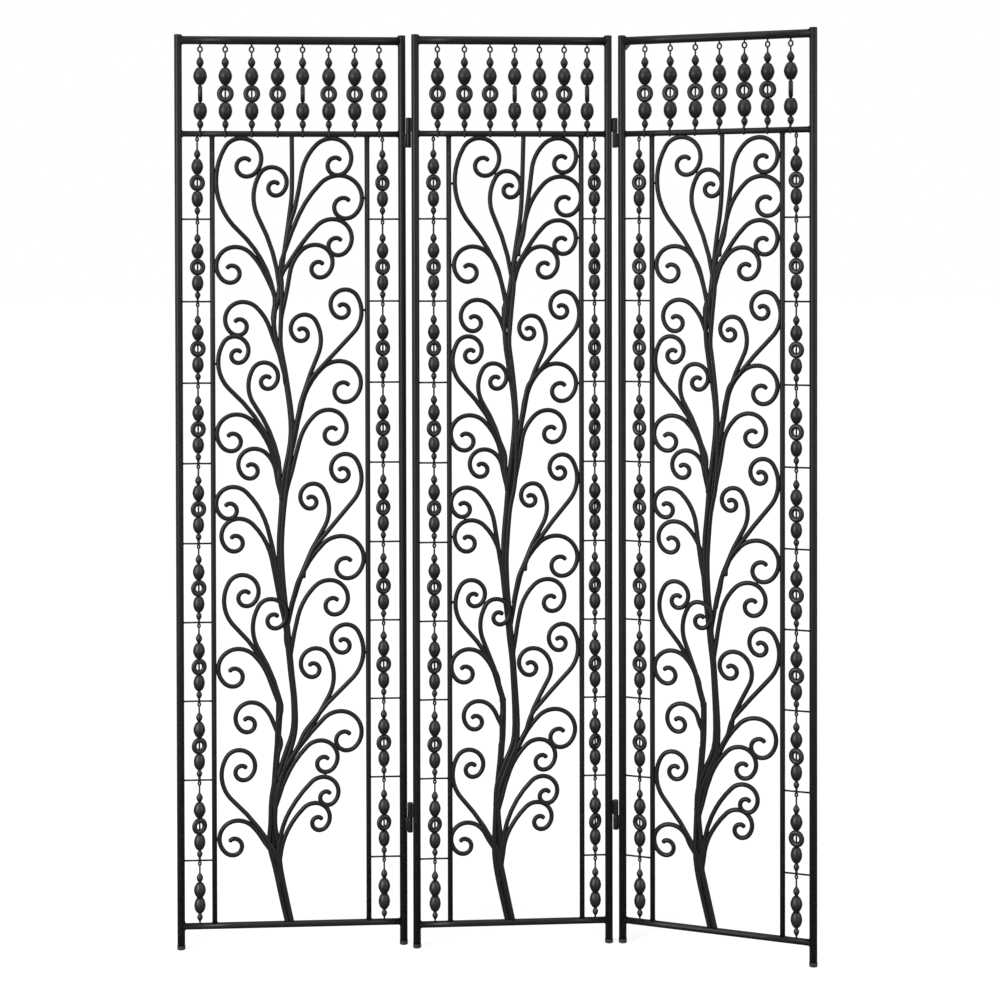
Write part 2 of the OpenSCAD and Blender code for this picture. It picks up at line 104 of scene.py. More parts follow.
class Shape:
    """Vertices and faces of one piece, gathered in millimetres."""

    def __init__(self) -> None:
        """Starts an empty shape."""
        self.blocks: list[np.ndarray] = []
        self.faces: list[tuple[int, ...]] = []
        self.count = 0

    def add(self, points: np.ndarray, faces: list[tuple[int, ...]]) -> None:
        """Adds a block of points and the faces that join them.

        Args:
            points: an array of x, y, z rows.
            faces: indices into points.
        """
        self.blocks.append(points)
        self.faces += [tuple(i + self.count for i in face) for face in faces]
        self.count += len(points)

    def loft(self, rings: list[np.ndarray]) -> None:
        """Joins rings of points into a skin, closed by a fan at both ends.

        Args:
            rings: arrays of the same number of points, in order along the skin.
        """
        sides, last = len(rings[0]), (len(rings) - 1) * len(rings[0])
        faces: list[tuple[int, ...]] = []
        for low in range(0, last, sides):
            high = low + sides
            faces += [(low + i, low + (i + 1) % sides, high + (i + 1) % sides, high + i)
                      for i in range(sides)]
        hub = last + sides
        faces += [(hub, (i + 1) % sides, i) for i in range(sides)]
        faces += [(hub + 1, last + i, last + (i + 1) % sides) for i in range(sides)]
        self.add(np.vstack([*rings, rings[0].mean(0)[None], rings[-1].mean(0)[None]]), faces)

    def tube(self, path: Path, radius: float, sides: int, domes: Pair) -> None:
        """Sweeps a round bar along a path.

        Args:
            path: centre points.
            radius: the bar's radius.
            sides: points around the bar.
            domes: how far each end is rounded, as a share of the radius.
        """
        centres = np.array(path, float)
        headings = np.gradient(centres, axis=0)
        headings /= np.linalg.norm(headings, axis=1)[:, None]
        turn = np.linspace(0, 2 * math.pi, sides, endpoint=False)
        side = np.cross(headings[0], (0.0, 1.0, 0.0))
        side /= np.linalg.norm(side)
        rings: list[np.ndarray] = []

        def ring(at: np.ndarray, ahead: np.ndarray, across: np.ndarray, size: float) -> np.ndarray:
            """One ring of the bar around a centre."""
            up = np.cross(ahead, across)
            return at + size * np.cos(turn)[:, None] * across + size * np.sin(turn)[:, None] * up

        for k, (at, ahead) in enumerate(zip(centres, headings)):
            side = side - ahead * (side @ ahead)
            side /= np.linalg.norm(side)
            if k == 0 and domes[0]:
                rings += [ring(at - ahead * radius * domes[0] * s, ahead, side,
                               radius * math.sqrt(1 - s * s)) for s in DOME_STEPS[::-1]]
            rings.append(ring(at, ahead, side, radius))
            if k == len(centres) - 1 and domes[1]:
                rings += [ring(at + ahead * radius * domes[1] * s, ahead, side,
                               radius * math.sqrt(1 - s * s)) for s in DOME_STEPS]
        self.loft(rings)

    def turned(self, outline: Outline, at: Point, steps: int) -> None:
        """Turns an outline about an upright axis.

        Args:
            outline: rows of radius and height, from one end to the other.
            at: where the axis stands.
            steps: points around it.
        """
        turn = np.linspace(0, 2 * math.pi, steps, endpoint=False)
        self.loft([np.c_[radius * np.cos(turn), radius * np.sin(turn), np.full(steps, height)]
                   + np.array(at) for radius, height in outline])

    def hoop(self, at: Point, radii: Pair, bar: Pair, facing: float, rounds: int = 36,
             sides: int = 14) -> None:
        """Makes a closed ring that stands upright.

        Args:
            at: its centre.
            radii: the centre line's radius across and upright.
            bar: the bar's radius in the ring's plane and across it.
            facing: turn about the upright axis, in degrees.
            rounds: sections around the ring.
            sides: points around the bar.
        """
        about = np.linspace(0, 2 * math.pi, sides, endpoint=False)
        cos_f, sin_f = math.cos(math.radians(facing)), math.sin(math.radians(facing))
        depth = bar[1] * np.sin(about)
        points = []
        for a in np.linspace(0, 2 * math.pi, rounds, endpoint=False):
            across = radii[0] * math.cos(a) + bar[0] * np.cos(about) * math.cos(a)
            height = radii[1] * math.sin(a) + bar[0] * np.cos(about) * math.sin(a)
            points.append(np.c_[across * cos_f - depth * sin_f, across * sin_f + depth * cos_f,
                                height])
        faces = [((k + 1) % rounds * sides + i, (k + 1) % rounds * sides + (i + 1) % sides,
                  k * sides + (i + 1) % sides, k * sides + i)
                 for k in range(rounds) for i in range(sides)]
        self.add(np.vstack(points) + np.array(at), faces)

    def lump(self, at: Point, size: Point, dice: random.Random, lean: float = 0.0) -> None:
        """Adds a small uneven bead of weld.

        Args:
            at: its centre.
            size: half sizes across, in depth and along.
            dice: the source of its unevenness.
            lean: turn in the leaf's plane, in degrees.
        """
        swell = [dice.uniform(*WELD_SWELL) for _ in range(4)]
        cos_l, sin_l = math.cos(math.radians(lean)), math.sin(math.radians(lean))
        rings = []
        for k in range(1, WELD_ROWS):
            tilt = math.pi * k / WELD_ROWS
            ring = []
            for i in range(WELD_STEPS):
                a = 2 * math.pi * i / WELD_STEPS
                bump = 1 + WELD_RIPPLE * math.sin(3 * a * swell[0] + 5 * tilt) * swell[1]
                x = size[0] * math.sin(tilt) * math.cos(a) * bump * swell[2]
                y = size[1] * math.sin(tilt) * math.sin(a) * bump
                z = size[2] * math.cos(tilt) * swell[3]
                ring.append((at[0] + x * cos_l - z * sin_l, at[1] + y,
                             at[2] + x * sin_l + z * cos_l))
            rings.append(np.array(ring)[::-1])
        self.loft(rings)

    def piece(self, name: str, place: Matrix, finish: bpy.types.Material) -> bpy.types.Object:
        """Makes the gathered shape into a Blender object.

        Args:
            name: the object's name.
            place: turns this shape's millimetres into the row frame's metres.
            finish: its material.

        Returns:
            The new object, smooth shaded.
        """
        points = np.vstack(self.blocks) @ np.array(place.to_3x3()).T + np.array(place.translation)
        mesh = bpy.data.meshes.new(name)
        mesh.from_pydata(points.tolist(), [], self.faces)
        mesh.validate()
        mesh.polygons.foreach_set("use_smooth", [True] * len(mesh.polygons))
        mesh.materials.append(finish)
        mesh.update()
        thing = bpy.data.objects.new(name, mesh)
        bpy.context.scene.collection.objects.link(thing)
        return thing


# ---------------------------------------------------------------- node groups


def add_node(tree: Tree, kind: str, **values: object) -> bpy.types.Node:
    """Adds a node to a tree.

    Args:
        tree: where the node goes.
        kind: the node's type.
        values: properties to set on it.

    Returns:
        The new node.
    """
    node = tree.nodes.new(kind)
    for key, value in values.items():
        setattr(node, key, value)
    return node


def sums(tree: Tree, how: str, *values: object, clamp: bool = False) -> Socket:
    """Adds a Math node.

    Args:
        tree: where the node goes.
        how: the operation.
        values: its sockets and numbers, in order.
        clamp: keeps the result between 0 and 1.

    Returns:
        The node's result.
    """
    node = add_node(tree, "ShaderNodeMath", operation=how, use_clamp=clamp)
    for socket, value in zip(node.inputs, values):
        if isinstance(value, Socket):
            tree.links.new(value, socket)
        else:
            socket.default_value = value
    return node.outputs[0]


def scaled(tree: Tree, value: Socket, gain: object, lift: object) -> Socket:
    """Multiplies a value by a gain and adds a lift, kept between 0 and 1."""
    return sums(tree, "MULTIPLY_ADD", value, gain, lift, clamp=True)


def beyond(tree: Tree, value: Socket, start: float, gain: float) -> Socket:
    """Gives how far a value is past a start, times a gain, kept between 0 and 1."""
    return sums(tree, "MULTIPLY", sums(tree, "SUBTRACT", value, start), gain, clamp=True)


class Group:
    """A shader node group under construction, with named sockets."""

    def __init__(self, name: str, takes: dict[str, float], gives: list[str]) -> None:
        """Makes the group and its sockets.

        Args:
            name: the group's name.
            takes: input names and their usual values.
            gives: output names.
        """
        self.tree = bpy.data.node_groups.new(name, "ShaderNodeTree")
        face = self.tree.interface
        for key, value in takes.items():
            socket = face.new_socket(key, in_out="INPUT", socket_type="NodeSocketFloat")
            socket.default_value = value
        for key in gives:
            face.new_socket(key, in_out="OUTPUT", socket_type="NodeSocketFloat")
        self.takes = self.tree.nodes.new("NodeGroupInput").outputs
        self.gives = self.tree.nodes.new("NodeGroupOutput").inputs

    def give(self, key: str, value: Socket) -> None:
        """Links a result to one of the group's outputs."""
        self.tree.links.new(value, self.gives[key])

    def geometry(self, key: str) -> Socket:
        """Adds a Geometry node and returns one of its outputs."""
        return add_node(self.tree, "ShaderNodeNewGeometry").outputs[key]

    def upness(self) -> Socket:
        """Adds the nodes that read how far the surface looks up.

        Returns:
            1 for a level top, -1 for an underside.
        """
        parts = add_node(self.tree, "ShaderNodeSeparateXYZ")
        self.tree.links.new(self.geometry("Normal"), parts.inputs[0])
        return parts.outputs["Z"]

    def noise(self, scale: object, detail: float, rough: float = 0.5) -> Socket:
        """Adds a Noise Texture in the object's own metres.

        Args:
            scale: number or socket for its scale.
            detail: its octaves.
            rough: how strong the finer octaves are.

        Returns:
            Its value.
        """
        node = add_node(self.tree, "ShaderNodeTexNoise")
        place = add_node(self.tree, "ShaderNodeTexCoord").outputs["Object"]
        self.tree.links.new(place, node.inputs["Vector"])
        if isinstance(scale, Socket):
            self.tree.links.new(scale, node.inputs["Scale"])
        else:
            node.inputs["Scale"].default_value = scale
        node.inputs["Detail"].default_value = detail
        node.inputs["Roughness"].default_value = rough
        return node.outputs[0]


def paint_skin_group() -> Tree:
    """Builds the skin of baked paint: soft orange peel, fine specks and cloudy sheen.

    Returns:
        The node group.
    """
    group = Group("paint_skin", {"Peel Scale": 900.0, "Peel": 1.0, "Specks": 0.3},
                  ["Height", "Cloud"])
    tree = group.tree
    peel = group.noise(group.takes["Peel Scale"], detail=1.5)
    speck = group.noise(3200.0, detail=2.0, rough=0.7)
    fine = sums(tree, "MULTIPLY", speck, group.takes["Specks"])
    group.give("Height", sums(tree, "ADD", sums(tree, "MULTIPLY", peel, group.takes["Peel"]), fine))
    group.give("Cloud", scaled(tree, group.noise(38.0, detail=4.0, rough=0.6), gain=1.6, lift=-0.3))
    return tree


def edge_rub_group() -> Tree:
    """Builds the rubbed mask: raised edges and scattered small scuffs.

    Returns:
        The node group.
    """
    group = Group("edge_rub", {"Edges": 0.5, "Scuffs": 0.3}, ["Mask"])
    tree = group.tree
    raised = beyond(tree, group.geometry("Pointiness"), start=0.515, gain=18.0)
    patch = beyond(tree, group.noise(160.0, detail=5.0, rough=0.65), start=0.52, gain=6.0)
    edges = sums(tree, "MULTIPLY", sums(tree, "MULTIPLY", raised, patch), group.takes["Edges"])
    scuff = beyond(tree, group.noise(75.0, detail=9.0, rough=0.72), start=0.66, gain=9.0)
    rubbed = sums(tree, "MULTIPLY", scuff, group.takes["Scuffs"])
    group.give("Mask", sums(tree, "ADD", edges, rubbed, clamp=True))
    return tree


def settled_dust_group() -> Tree:
    """Builds the dust mask: faces that look up, broken by noise.

    Returns:
        The node group.
    """
    group = Group("settled_dust", {"Amount": 0.3}, ["Mask"])
    tree = group.tree
    up = beyond(tree, group.upness(), start=0.35, gain=1.5)
    broken = sums(tree, "MULTIPLY", up, group.noise(220.0, detail=6.0, rough=0.7))
    group.give("Mask", sums(tree, "MULTIPLY", broken, group.takes["Amount"], clamp=True))
    return tree


def painted_underside_shade_group() -> Tree:
    """Builds painted shade for undersides: the mask of faces that look to the sky rather than to
    the ground, which cuts their gloss where they look down.

    Returns:
        The node group.
    """
    group = Group("painted_underside_shade", {"Level": 0.54, "Steepness": 0.95, "Least": 0.12}, ["Mask"])
    lean = scaled(group.tree, group.upness(), group.takes["Steepness"], group.takes["Level"])
    group.give("Mask", sums(group.tree, "MAXIMUM", lean, group.takes["Least"]))
    return group.tree


class Groups:
    """The shared node groups, each built once."""

    def __init__(self) -> None:
        """Builds the groups."""
        # painted shade: a mask that darkens the gloss of faces that look down
        self.sky = painted_underside_shade_group()
        self.skin = paint_skin_group()
        self.rub = edge_rub_group()
        self.dust = settled_dust_group()


# ---------------------------------------------------------------- finishes


class Surface:
    """A material under construction: one Principled shader and the skin of paint."""

    def __init__(self, name: str, groups: Groups, skin: Point) -> None:
        """Makes the material with its shader, its output and its skin.

        Args:
            name: the material's name.
            groups: the shared node groups.
            skin: the skin's peel scale, peel and specks.
        """
        self.material, self.tree = blank(bpy.data.materials.new(name))
        self.shader = self.tree.nodes.new("ShaderNodeBsdfPrincipled")
        out = self.tree.nodes.new("ShaderNodeOutputMaterial")
        self.tree.links.new(self.shader.outputs[0], out.inputs["Surface"])
        self.skin = self.placed(groups.skin, dict(zip(("Peel Scale", "Peel", "Specks"), skin)))

    def placed(self, group: Tree, values: dict[str, float]) -> bpy.types.bpy_prop_collection:
        """Places a node group with its own values.

        Args:
            group: the node group.
            values: input names and numbers.

        Returns:
            The placed group's outputs.
        """
        node = add_node(self.tree, "ShaderNodeGroup", node_tree=group)
        for key, value in values.items():
            node.inputs[key].default_value = value
        return node.outputs

    def feed(self, key: str, value: Socket) -> None:
        """Links a value to one of the shader's inputs."""
        self.tree.links.new(value, self.shader.inputs[key])

    def blend(self, share: Socket, low: object, high: Colour) -> Socket:
        """Blends two colours by a mask.

        Args:
            share: the mask.
            low: colour or socket where the mask is 0.
            high: colour where the mask is 1.

        Returns:
            The blended colour.
        """
        node = add_node(self.tree, "ShaderNodeMix", data_type="RGBA")
        self.tree.links.new(share, node.inputs[0])
        if isinstance(low, Socket):
            self.tree.links.new(low, node.inputs[6])
        else:
            node.inputs[6].default_value = (*low, 1.0)
        node.inputs[7].default_value = (*high, 1.0)
        return node.outputs[2]

    def raise_skin(self, strength: float, depth: float) -> None:
        """Bumps the shader's normal by the skin's height.

        Args:
            strength: the bump's strength.
            depth: the bump's distance, in metres.
        """
        bump = self.tree.nodes.new("ShaderNodeBump")
        bump.inputs["Strength"].default_value = strength
        bump.inputs["Distance"].default_value = depth
        self.tree.links.new(self.skin["Height"], bump.inputs["Height"])
        self.feed("Normal", bump.outputs[0])


def blank(data: bpy.types.ID) -> tuple[bpy.types.ID, Tree]:
    """Gives a new material or world an empty node tree.

    Args:
        data: the material or world.

    Returns:
        The same material or world, and its tree.
    """
    data.use_nodes = True
    data.node_tree.nodes.clear()
    return data, data.node_tree


@dataclass(frozen=True)
class CoatFinish:
    """Satin black paint baked on metal."""

    name: str
    tint: Colour = (0.005, 0.005, 0.0052)
    thin: Colour = (0.0066, 0.0065, 0.0066)
    bare: Colour = (0.035, 0.034, 0.032)
    dusty: Colour = (0.08, 0.078, 0.074)
    rough: Pair = (0.33, 0.38)
    # level: specular level at faces and at rims; the drop at the rims is painted shade
    level: Pair = (0.19, 0.06)
    peel_scale: float = 420.0
    peel: float = 1.0
    specks: float = 0.08
    depth: float = 0.00004
    strength: float = 0.15
    edges: float = 0.3
    scuffs: float = 0.03
    dust: float = 0.04
    dulled: float = 0.5

    def build(self, groups: Groups) -> bpy.types.Material:
        """Makes the material.

        Args:
            groups: the shared node groups.

        Returns:
            The material.
        """
        coat = Surface(self.name, groups, (self.peel_scale, self.peel, self.specks))
        tree, cloud = coat.tree, coat.skin["Cloud"]
        rub = coat.placed(groups.rub, {"Edges": self.edges, "Scuffs": self.scuffs})["Mask"]
        dust = coat.placed(groups.dust, {"Amount": self.dust})["Mask"]
        colour = coat.blend(cloud, self.tint, self.thin)
        coat.feed("Base Color", coat.blend(dust, coat.blend(rub, colour, self.bare), self.dusty))
        sheen = scaled(tree, cloud, self.rough[1] - self.rough[0], self.rough[0])
        coat.feed("Roughness", scaled(tree, dust, self.dulled, sheen))
        # painted shade: the specular level falls from level[0] at faces to level[1] at rims, so
        # outlines render dark
        facing = add_node(tree, "ShaderNodeLayerWeight").outputs["Facing"]
        level = scaled(tree, facing, self.level[1] - self.level[0], self.level[0])
        # painted shade: the gloss is cut on faces that look down, so undersides render darker
        sky = coat.placed(groups.sky, {})["Mask"]
        coat.feed("Specular IOR Level", sums(tree, "MULTIPLY", level, sky))
        coat.raise_skin(self.strength, self.depth)
        return coat.material


@dataclass(frozen=True)
class RubberFinish:
    """Moulded black rubber of the foot caps."""

    name: str
    tint: Colour = (0.011, 0.011, 0.011)
    dusty: Colour = (0.06, 0.058, 0.054)
    worn: Colour = (0.035, 0.034, 0.033)
    skin: Point = (1500.0, 0.6, 1.0)
    dust: float = 0.5
    edges: float = 0.7
    scuffs: float = 0.6
    rough: Pair = (0.68, 0.83)
    level: float = 0.3
    strength: float = 0.4
    depth: float = 0.0001

    def build(self, groups: Groups) -> bpy.types.Material:
        """Makes the material.

        Args:
            groups: the shared node groups.

        Returns:
            The material.
        """
        rubber = Surface(self.name, groups, self.skin)
        dust = rubber.placed(groups.dust, {"Amount": self.dust})["Mask"]
        rub = rubber.placed(groups.rub, {"Edges": self.edges, "Scuffs": self.scuffs})["Mask"]
        colour = rubber.blend(dust, self.tint, self.dusty)
        rubber.feed("Base Color", rubber.blend(rub, colour, self.worn))
        rubber.feed("Roughness", scaled(rubber.tree, rubber.skin["Cloud"],
                                        self.rough[1] - self.rough[0], self.rough[0]))
        rubber.shader.inputs["Specular IOR Level"].default_value = self.level
        rubber.raise_skin(self.strength, self.depth)
        return rubber.material


@dataclass(frozen=True)
class SteelFinish:
    """Drawn steel of the hinge pins, greased and a little dark."""

    name: str
    tint: Colour = (0.2, 0.195, 0.19)
    dark: Colour = (0.05, 0.046, 0.042)
    skin: Point = (2200.0, 0.4, 0.8)
    rough: Pair = (0.28, 0.48)
    strength: float = 0.2
    depth: float = 0.00005

    def build(self, groups: Groups) -> bpy.types.Material:
        """Makes the material.

        Args:
            groups: the shared node groups.

        Returns:
            The material.
        """
        steel = Surface(self.name, groups, self.skin)
        cloud = steel.skin["Cloud"]
        steel.feed("Base Color", steel.blend(cloud, self.tint, self.dark))
        steel.feed("Roughness", scaled(steel.tree, cloud, self.rough[1] - self.rough[0],
                                       self.rough[0]))
        steel.shader.inputs["Metallic"].default_value = 1.0
        steel.raise_skin(self.strength, self.depth)
        return steel.material


class Finishes:
    """Every finish of the screen, built once."""

    def __init__(self) -> None:
        """Builds the finishes."""
        groups = Groups()
        self.frame = CoatFinish("frame_coat").build(groups)
        self.rod = CoatFinish("rod_coat", peel_scale=600.0, depth=0.00003).build(groups)
        self.scroll = CoatFinish("scroll_coat", peel_scale=300.0, depth=0.00008).build(groups)
        self.weld = CoatFinish("weld_coat", peel_scale=240.0, depth=0.0002, strength=0.4,
                               specks=0.3, rough=(0.4, 0.5)).build(groups)
        self.bead = CoatFinish("bead_coat", rough=(0.38, 0.46), level=(0.37, 0.12),
                               peel_scale=260.0, depth=0.00012, strength=0.25).build(groups)
        self.hinge = CoatFinish("hinge_coat", edges=0.5, scuffs=0.1).build(groups)
        self.rubber = RubberFinish("foot_rubber").build(groups)
        self.steel = SteelFinish("pin_steel").build(groups)


# ---------------------------------------------------------------- scrolls


class Side(Enum):
    """Which side of a leaf a piece is on, with its word in the pieces' names."""

    LEFT = "left"
    RIGHT = "right"


BACK_SHOULDER, SHOULDER = (60.0, 0.92), (45.0, 1.15)
CURL = ((1.0, 90), (1.02, 45), (0.62, 45), (0.49, 90), (0.42, 90), (0.28, 50))


@dataclass(frozen=True)
class Scroll:
    """A bent bar: it comes up from its root, rounds a shoulder and closes in a curl.

    hand is 1 where the curl turns to the right over its top and -1 to the left. The top and the
    root are points in the leaf's plane, size is the curl's first radius, lean is the root's angle
    from upright, and ratio shares the rise between its two arcs.
    """

    hand: int
    top_u: float
    top_z: float
    size: float
    root_u: float
    root_z: float
    lean: float
    ratio: float = 1.0

    def arcs(self) -> list[Pair]:
        """Works out the scroll's arcs from its root, top and size.

        Returns:
            The radius and turn of each arc, root first.
        """
        back = self.hand * (self.top_u - self.root_u) < 0
        turn, share = BACK_SHOULDER if back else SHOULDER
        radius = share * self.size
        root = np.array((self.root_u, self.root_z))
        end = np.array((self.top_u - self.hand * radius * math.sin(math.radians(turn)),
                        self.top_z - radius * (1 - math.cos(math.radians(turn)))))
        heading = 90.0 - self.lean
        last = turn if self.hand > 0 else 180.0 - turn
        middle = arc_meeting(root, way(heading), end, way(last), self.ratio)
        first = arc_over(heading, middle - root)
        second = arc_over(heading + first[1], end - middle)
        return [first, second, (radius, -self.hand * turn)] + [
            (self.size * share, -self.hand * angle) for share, angle in CURL]

    def line(self, step: float = 7.0) -> np.ndarray:
        """Gives points along the scroll's centre.

        Args:
            step: the largest turn between points, in degrees.

        Returns:
            Rows of u and z.
        """
        at, heading, points = np.array((self.root_u, self.root_z)), 90.0 - self.lean, []
        for radius, turn in self.arcs():
            parts = max(2, math.ceil(abs(turn) / step))
            points += [arc_end(at, heading, radius, turn, k / parts) for k in range(parts)]
            at = arc_end(at, heading, radius, turn, 1.0)
            heading += turn
        return np.array(points + [at])

    def moved(self, across: float, up: float) -> "Scroll":
        """Gives the same scroll with its top moved, and its root carried halfway up."""
        return replace(self, top_u=self.top_u + across, top_z=self.top_z + up,
                       root_z=self.root_z + up / 2)


def way(angle: float) -> np.ndarray:
    """Gives the unit vector at an angle in degrees."""
    return np.array((math.cos(math.radians(angle)), math.sin(math.radians(angle))))


def arc_meeting(start: np.ndarray, out: np.ndarray, end: np.ndarray, arrive: np.ndarray,
                ratio: float) -> np.ndarray:
    """Finds where two tangent arcs meet.

    Args:
        start: first point.
        out: unit heading there.
        end: last point.
        arrive: unit heading there.
        ratio: the first tangent's length over the second's.

    Returns:
        The meeting point.
    """
    span = end - start
    b = ratio * (span @ out) + span @ arrive
    q = 2 * ratio * (1 - out @ arrive)
    second = (-b + math.sqrt(b * b + q * (span @ span))) / q
    first = ratio * second
    return (second * (start + first * out) + first * (end - second * arrive)) / (first + second)


def arc_over(heading: float, chord: np.ndarray) -> Pair:
    """Finds the arc that leaves along a heading and ends over a chord.

    Args:
        heading: the heading at its start, in degrees.
        chord: from its start to its end.

    Returns:
        Its radius and turn, or the chord's length and 0 where it is all but straight.
    """
    out = way(heading)
    turn = 2 * math.degrees(math.atan2(out[0] * chord[1] - out[1] * chord[0], out @ chord))
    length = float(np.linalg.norm(chord))
    if abs(turn) < 1:
        return length, 0.0
    return length / (2 * math.sin(math.radians(abs(turn) / 2))), turn


def arc_end(at: np.ndarray, heading: float, radius: float, turn: float,
            share: float) -> np.ndarray:
    """Finds the point a share of the way along an arc.

    Args:
        at: the arc's start.
        heading: the heading there, in degrees.
        radius: its radius, or its length where turn is 0.
        turn: how far it turns, in degrees, with plus to the left.
        share: how much of it is covered.

    Returns:
        The point.
    """
    if turn == 0:
        return at + radius * share * way(heading)
    side = math.copysign(1.0, turn)
    return at + radius * side * (way(heading + 90) - way(heading + turn * share + 90))


def smooth_line(rows: list[tuple[float, ...]], parts: int) -> np.ndarray:
    """Runs a smooth curve through rows of numbers.

    Args:
        rows: the rows, in order.
        parts: points from each row to the next.

    Returns:
        The points of the curve.
    """
    p = np.array([rows[0], *rows, rows[-1]], float)
    out = []
    for k in range(1, len(p) - 2):
        for t in np.linspace(0, 1, parts, endpoint=False):
            out.append(0.5 * (2 * p[k] + (p[k + 1] - p[k - 1]) * t
                              + (2 * p[k - 1] - 5 * p[k] + 4 * p[k + 1] - p[k + 2]) * t * t
                              + (3 * p[k] - p[k - 1] - 3 * p[k + 1] + p[k + 2]) * t ** 3))
    return np.array(out + [p[-1]])


# ---------------------------------------------------------------- beads


class BeadForm(Enum):
    """Outlines of the turned beads, as shares of widest radius and height from the lower end."""

    HIGH_EGG = ((0.4, 0.0), (0.52, 0.04), (0.68, 0.13), (0.85, 0.26), (0.97, 0.4), (1.0, 0.5),
                (0.96, 0.62), (0.86, 0.75), (0.71, 0.87), (0.56, 0.95), (0.4, 1.0))
    LOW_EGG = ((0.38, 0.0), (0.5, 0.04), (0.64, 0.1), (0.81, 0.2), (0.94, 0.34), (1.0, 0.5),
               (0.96, 0.66), (0.84, 0.82), (0.7, 0.92), (0.52, 1.0))
    DROP = ((0.36, 0.0), (0.48, 0.07), (0.7, 0.2), (0.92, 0.37), (1.0, 0.49), (0.95, 0.62),
            (0.75, 0.78), (0.5, 0.92), (0.36, 1.0))


def bead_outline(form: BeadForm, low: float, height: float, radius: float) -> Outline:
    """Gives a bead's outline in millimetres.

    Args:
        form: its shape.
        low: the height of its lower end.
        height: from its lower end to its upper end.
        radius: its widest radius.

    Returns:
        Rows of radius and height, with closed ends.
    """
    rows = smooth_line([(r * radius, low + h * height) for r, h in form.value], 2).tolist()
    return [(AXIS_R, rows[0][1]), *map(tuple, rows), (AXIS_R, rows[-1][1])]


@dataclass(frozen=True)
class BeadSizes:
    """Beads of one kind of string: radius and height of each, outer height and bar of the ring."""

    low_drop: Pair
    low_egg: Pair
    ring: Pair
    high_egg: Pair
    high_drop: Pair


TOP_BEADS = BeadSizes((6.4, 18.0), (13.4, 32.8), (35.0, 10.4), (13.4, 32.8), (7.4, 20.4))
COLUMN_BEADS = BeadSizes((5.7, 15.5), (11.328, 30.0), (33.0, 10.2), (11.8, 30.0), (6.5, 18.0))


# ---------------------------------------------------------------- the trees' bars


NARROW_LEFT = [
    Scroll(1, 125, 1579, 38.5, 172, 1280, -12, 0.8), Scroll(1, 178, 1515, 27, 187, 1310, -8, 1.4),
    Scroll(-1, 111, 1368, 36, 173, 1272, -11), Scroll(-1, 120, 1264, 32, 180, 1180, -16),
    Scroll(1, 102, 1193, 26.5, 169, 975, -20, 1.4), Scroll(1, 151, 1140, 26, 170, 960, -10, 1.4),
    Scroll(-1, 104, 1039, 36, 176, 905, -8), Scroll(-1, 133, 972, 28, 174, 912, -14),
    Scroll(-1, 98, 898, 30, 163, 760, -8), Scroll(-1, 107, 834, 32, 172, 690, -5),
    Scroll(1, 107, 717, 27, 153, 540, -25), Scroll(1, 156, 680, 26, 168, 490, -14, 1.4),
    Scroll(-1, 102, 582, 34, 168, 481, -18), Scroll(-1, 121, 480, 29, 164, 436, -28),
    Scroll(1, 102, 385, 28, 148, 205, -28), Scroll(-1, 99, 242, 32, 145, 200, -36)]
NARROW_RIGHT = [
    Scroll(1, 279, 1579, 35, 212, 1405, 9, 2), Scroll(1, 283, 1504, 40, 199, 1363, 15),
    Scroll(1, 279, 1419, 34.5, 207, 1345, 30), Scroll(1, 246, 1368, 32, 184, 1268, 16),
    Scroll(-1, 290, 1280, 27, 239, 1122, 38), Scroll(-1, 226, 1233, 24, 220, 1090, 17),
    Scroll(1, 275, 1139, 38.5, 204, 1010, 12), Scroll(1, 258, 1048, 33, 197, 930, 12),
    Scroll(-1, 286, 961, 25, 239, 794, 36), Scroll(-1, 228, 905, 23, 211, 748, 20),
    Scroll(1, 274, 802, 41.5, 188, 650, 8), Scroll(1, 257, 717, 33, 193, 598, 7),
    Scroll(-1, 286, 629, 27, 230, 460, 40), Scroll(-1, 228, 582, 27.5, 228, 462, 25),
    Scroll(1, 271, 462, 39.5, 185, 356, 22), Scroll(1, 240, 403, 31.5, 166, 288, 12),
    Scroll(1, 247, 331, 28, 168, 197, 4), Scroll(1, 236, 280, 28, 169, 183, 4)]
WIDE_LEFT = [
    Scroll(1, 121, 1579, 39, 183, 1280, -12, 0.7), Scroll(1, 180, 1523, 29, 194, 1290, -5, 1.4),
    Scroll(-1, 109, 1368, 36.5, 176, 1295, -24), Scroll(-1, 123, 1261, 34, 192, 1163, -21),
    Scroll(1, 107, 1194, 27, 190, 950, -18, 1.4), Scroll(1, 164, 1143, 27, 191, 955, -12, 1.4),
    Scroll(-1, 110, 1042, 37.5, 192, 925, -14), Scroll(-1, 144, 975, 30.5, 195, 888, -17),
    Scroll(-1, 103, 901, 32.5, 186, 745, -8), Scroll(-1, 114, 839, 33.5, 193, 678, -10),
    Scroll(1, 120, 729, 32, 172, 540, -28), Scroll(1, 176, 682, 30, 191, 490, -14),
    Scroll(-1, 112, 585, 38.5, 190, 478, -21), Scroll(-1, 137, 480, 30.5, 189, 418, -25),
    Scroll(1, 113, 387, 31, 172, 203, -32), Scroll(-1, 110, 249, 35.5, 172, 192, -39)]
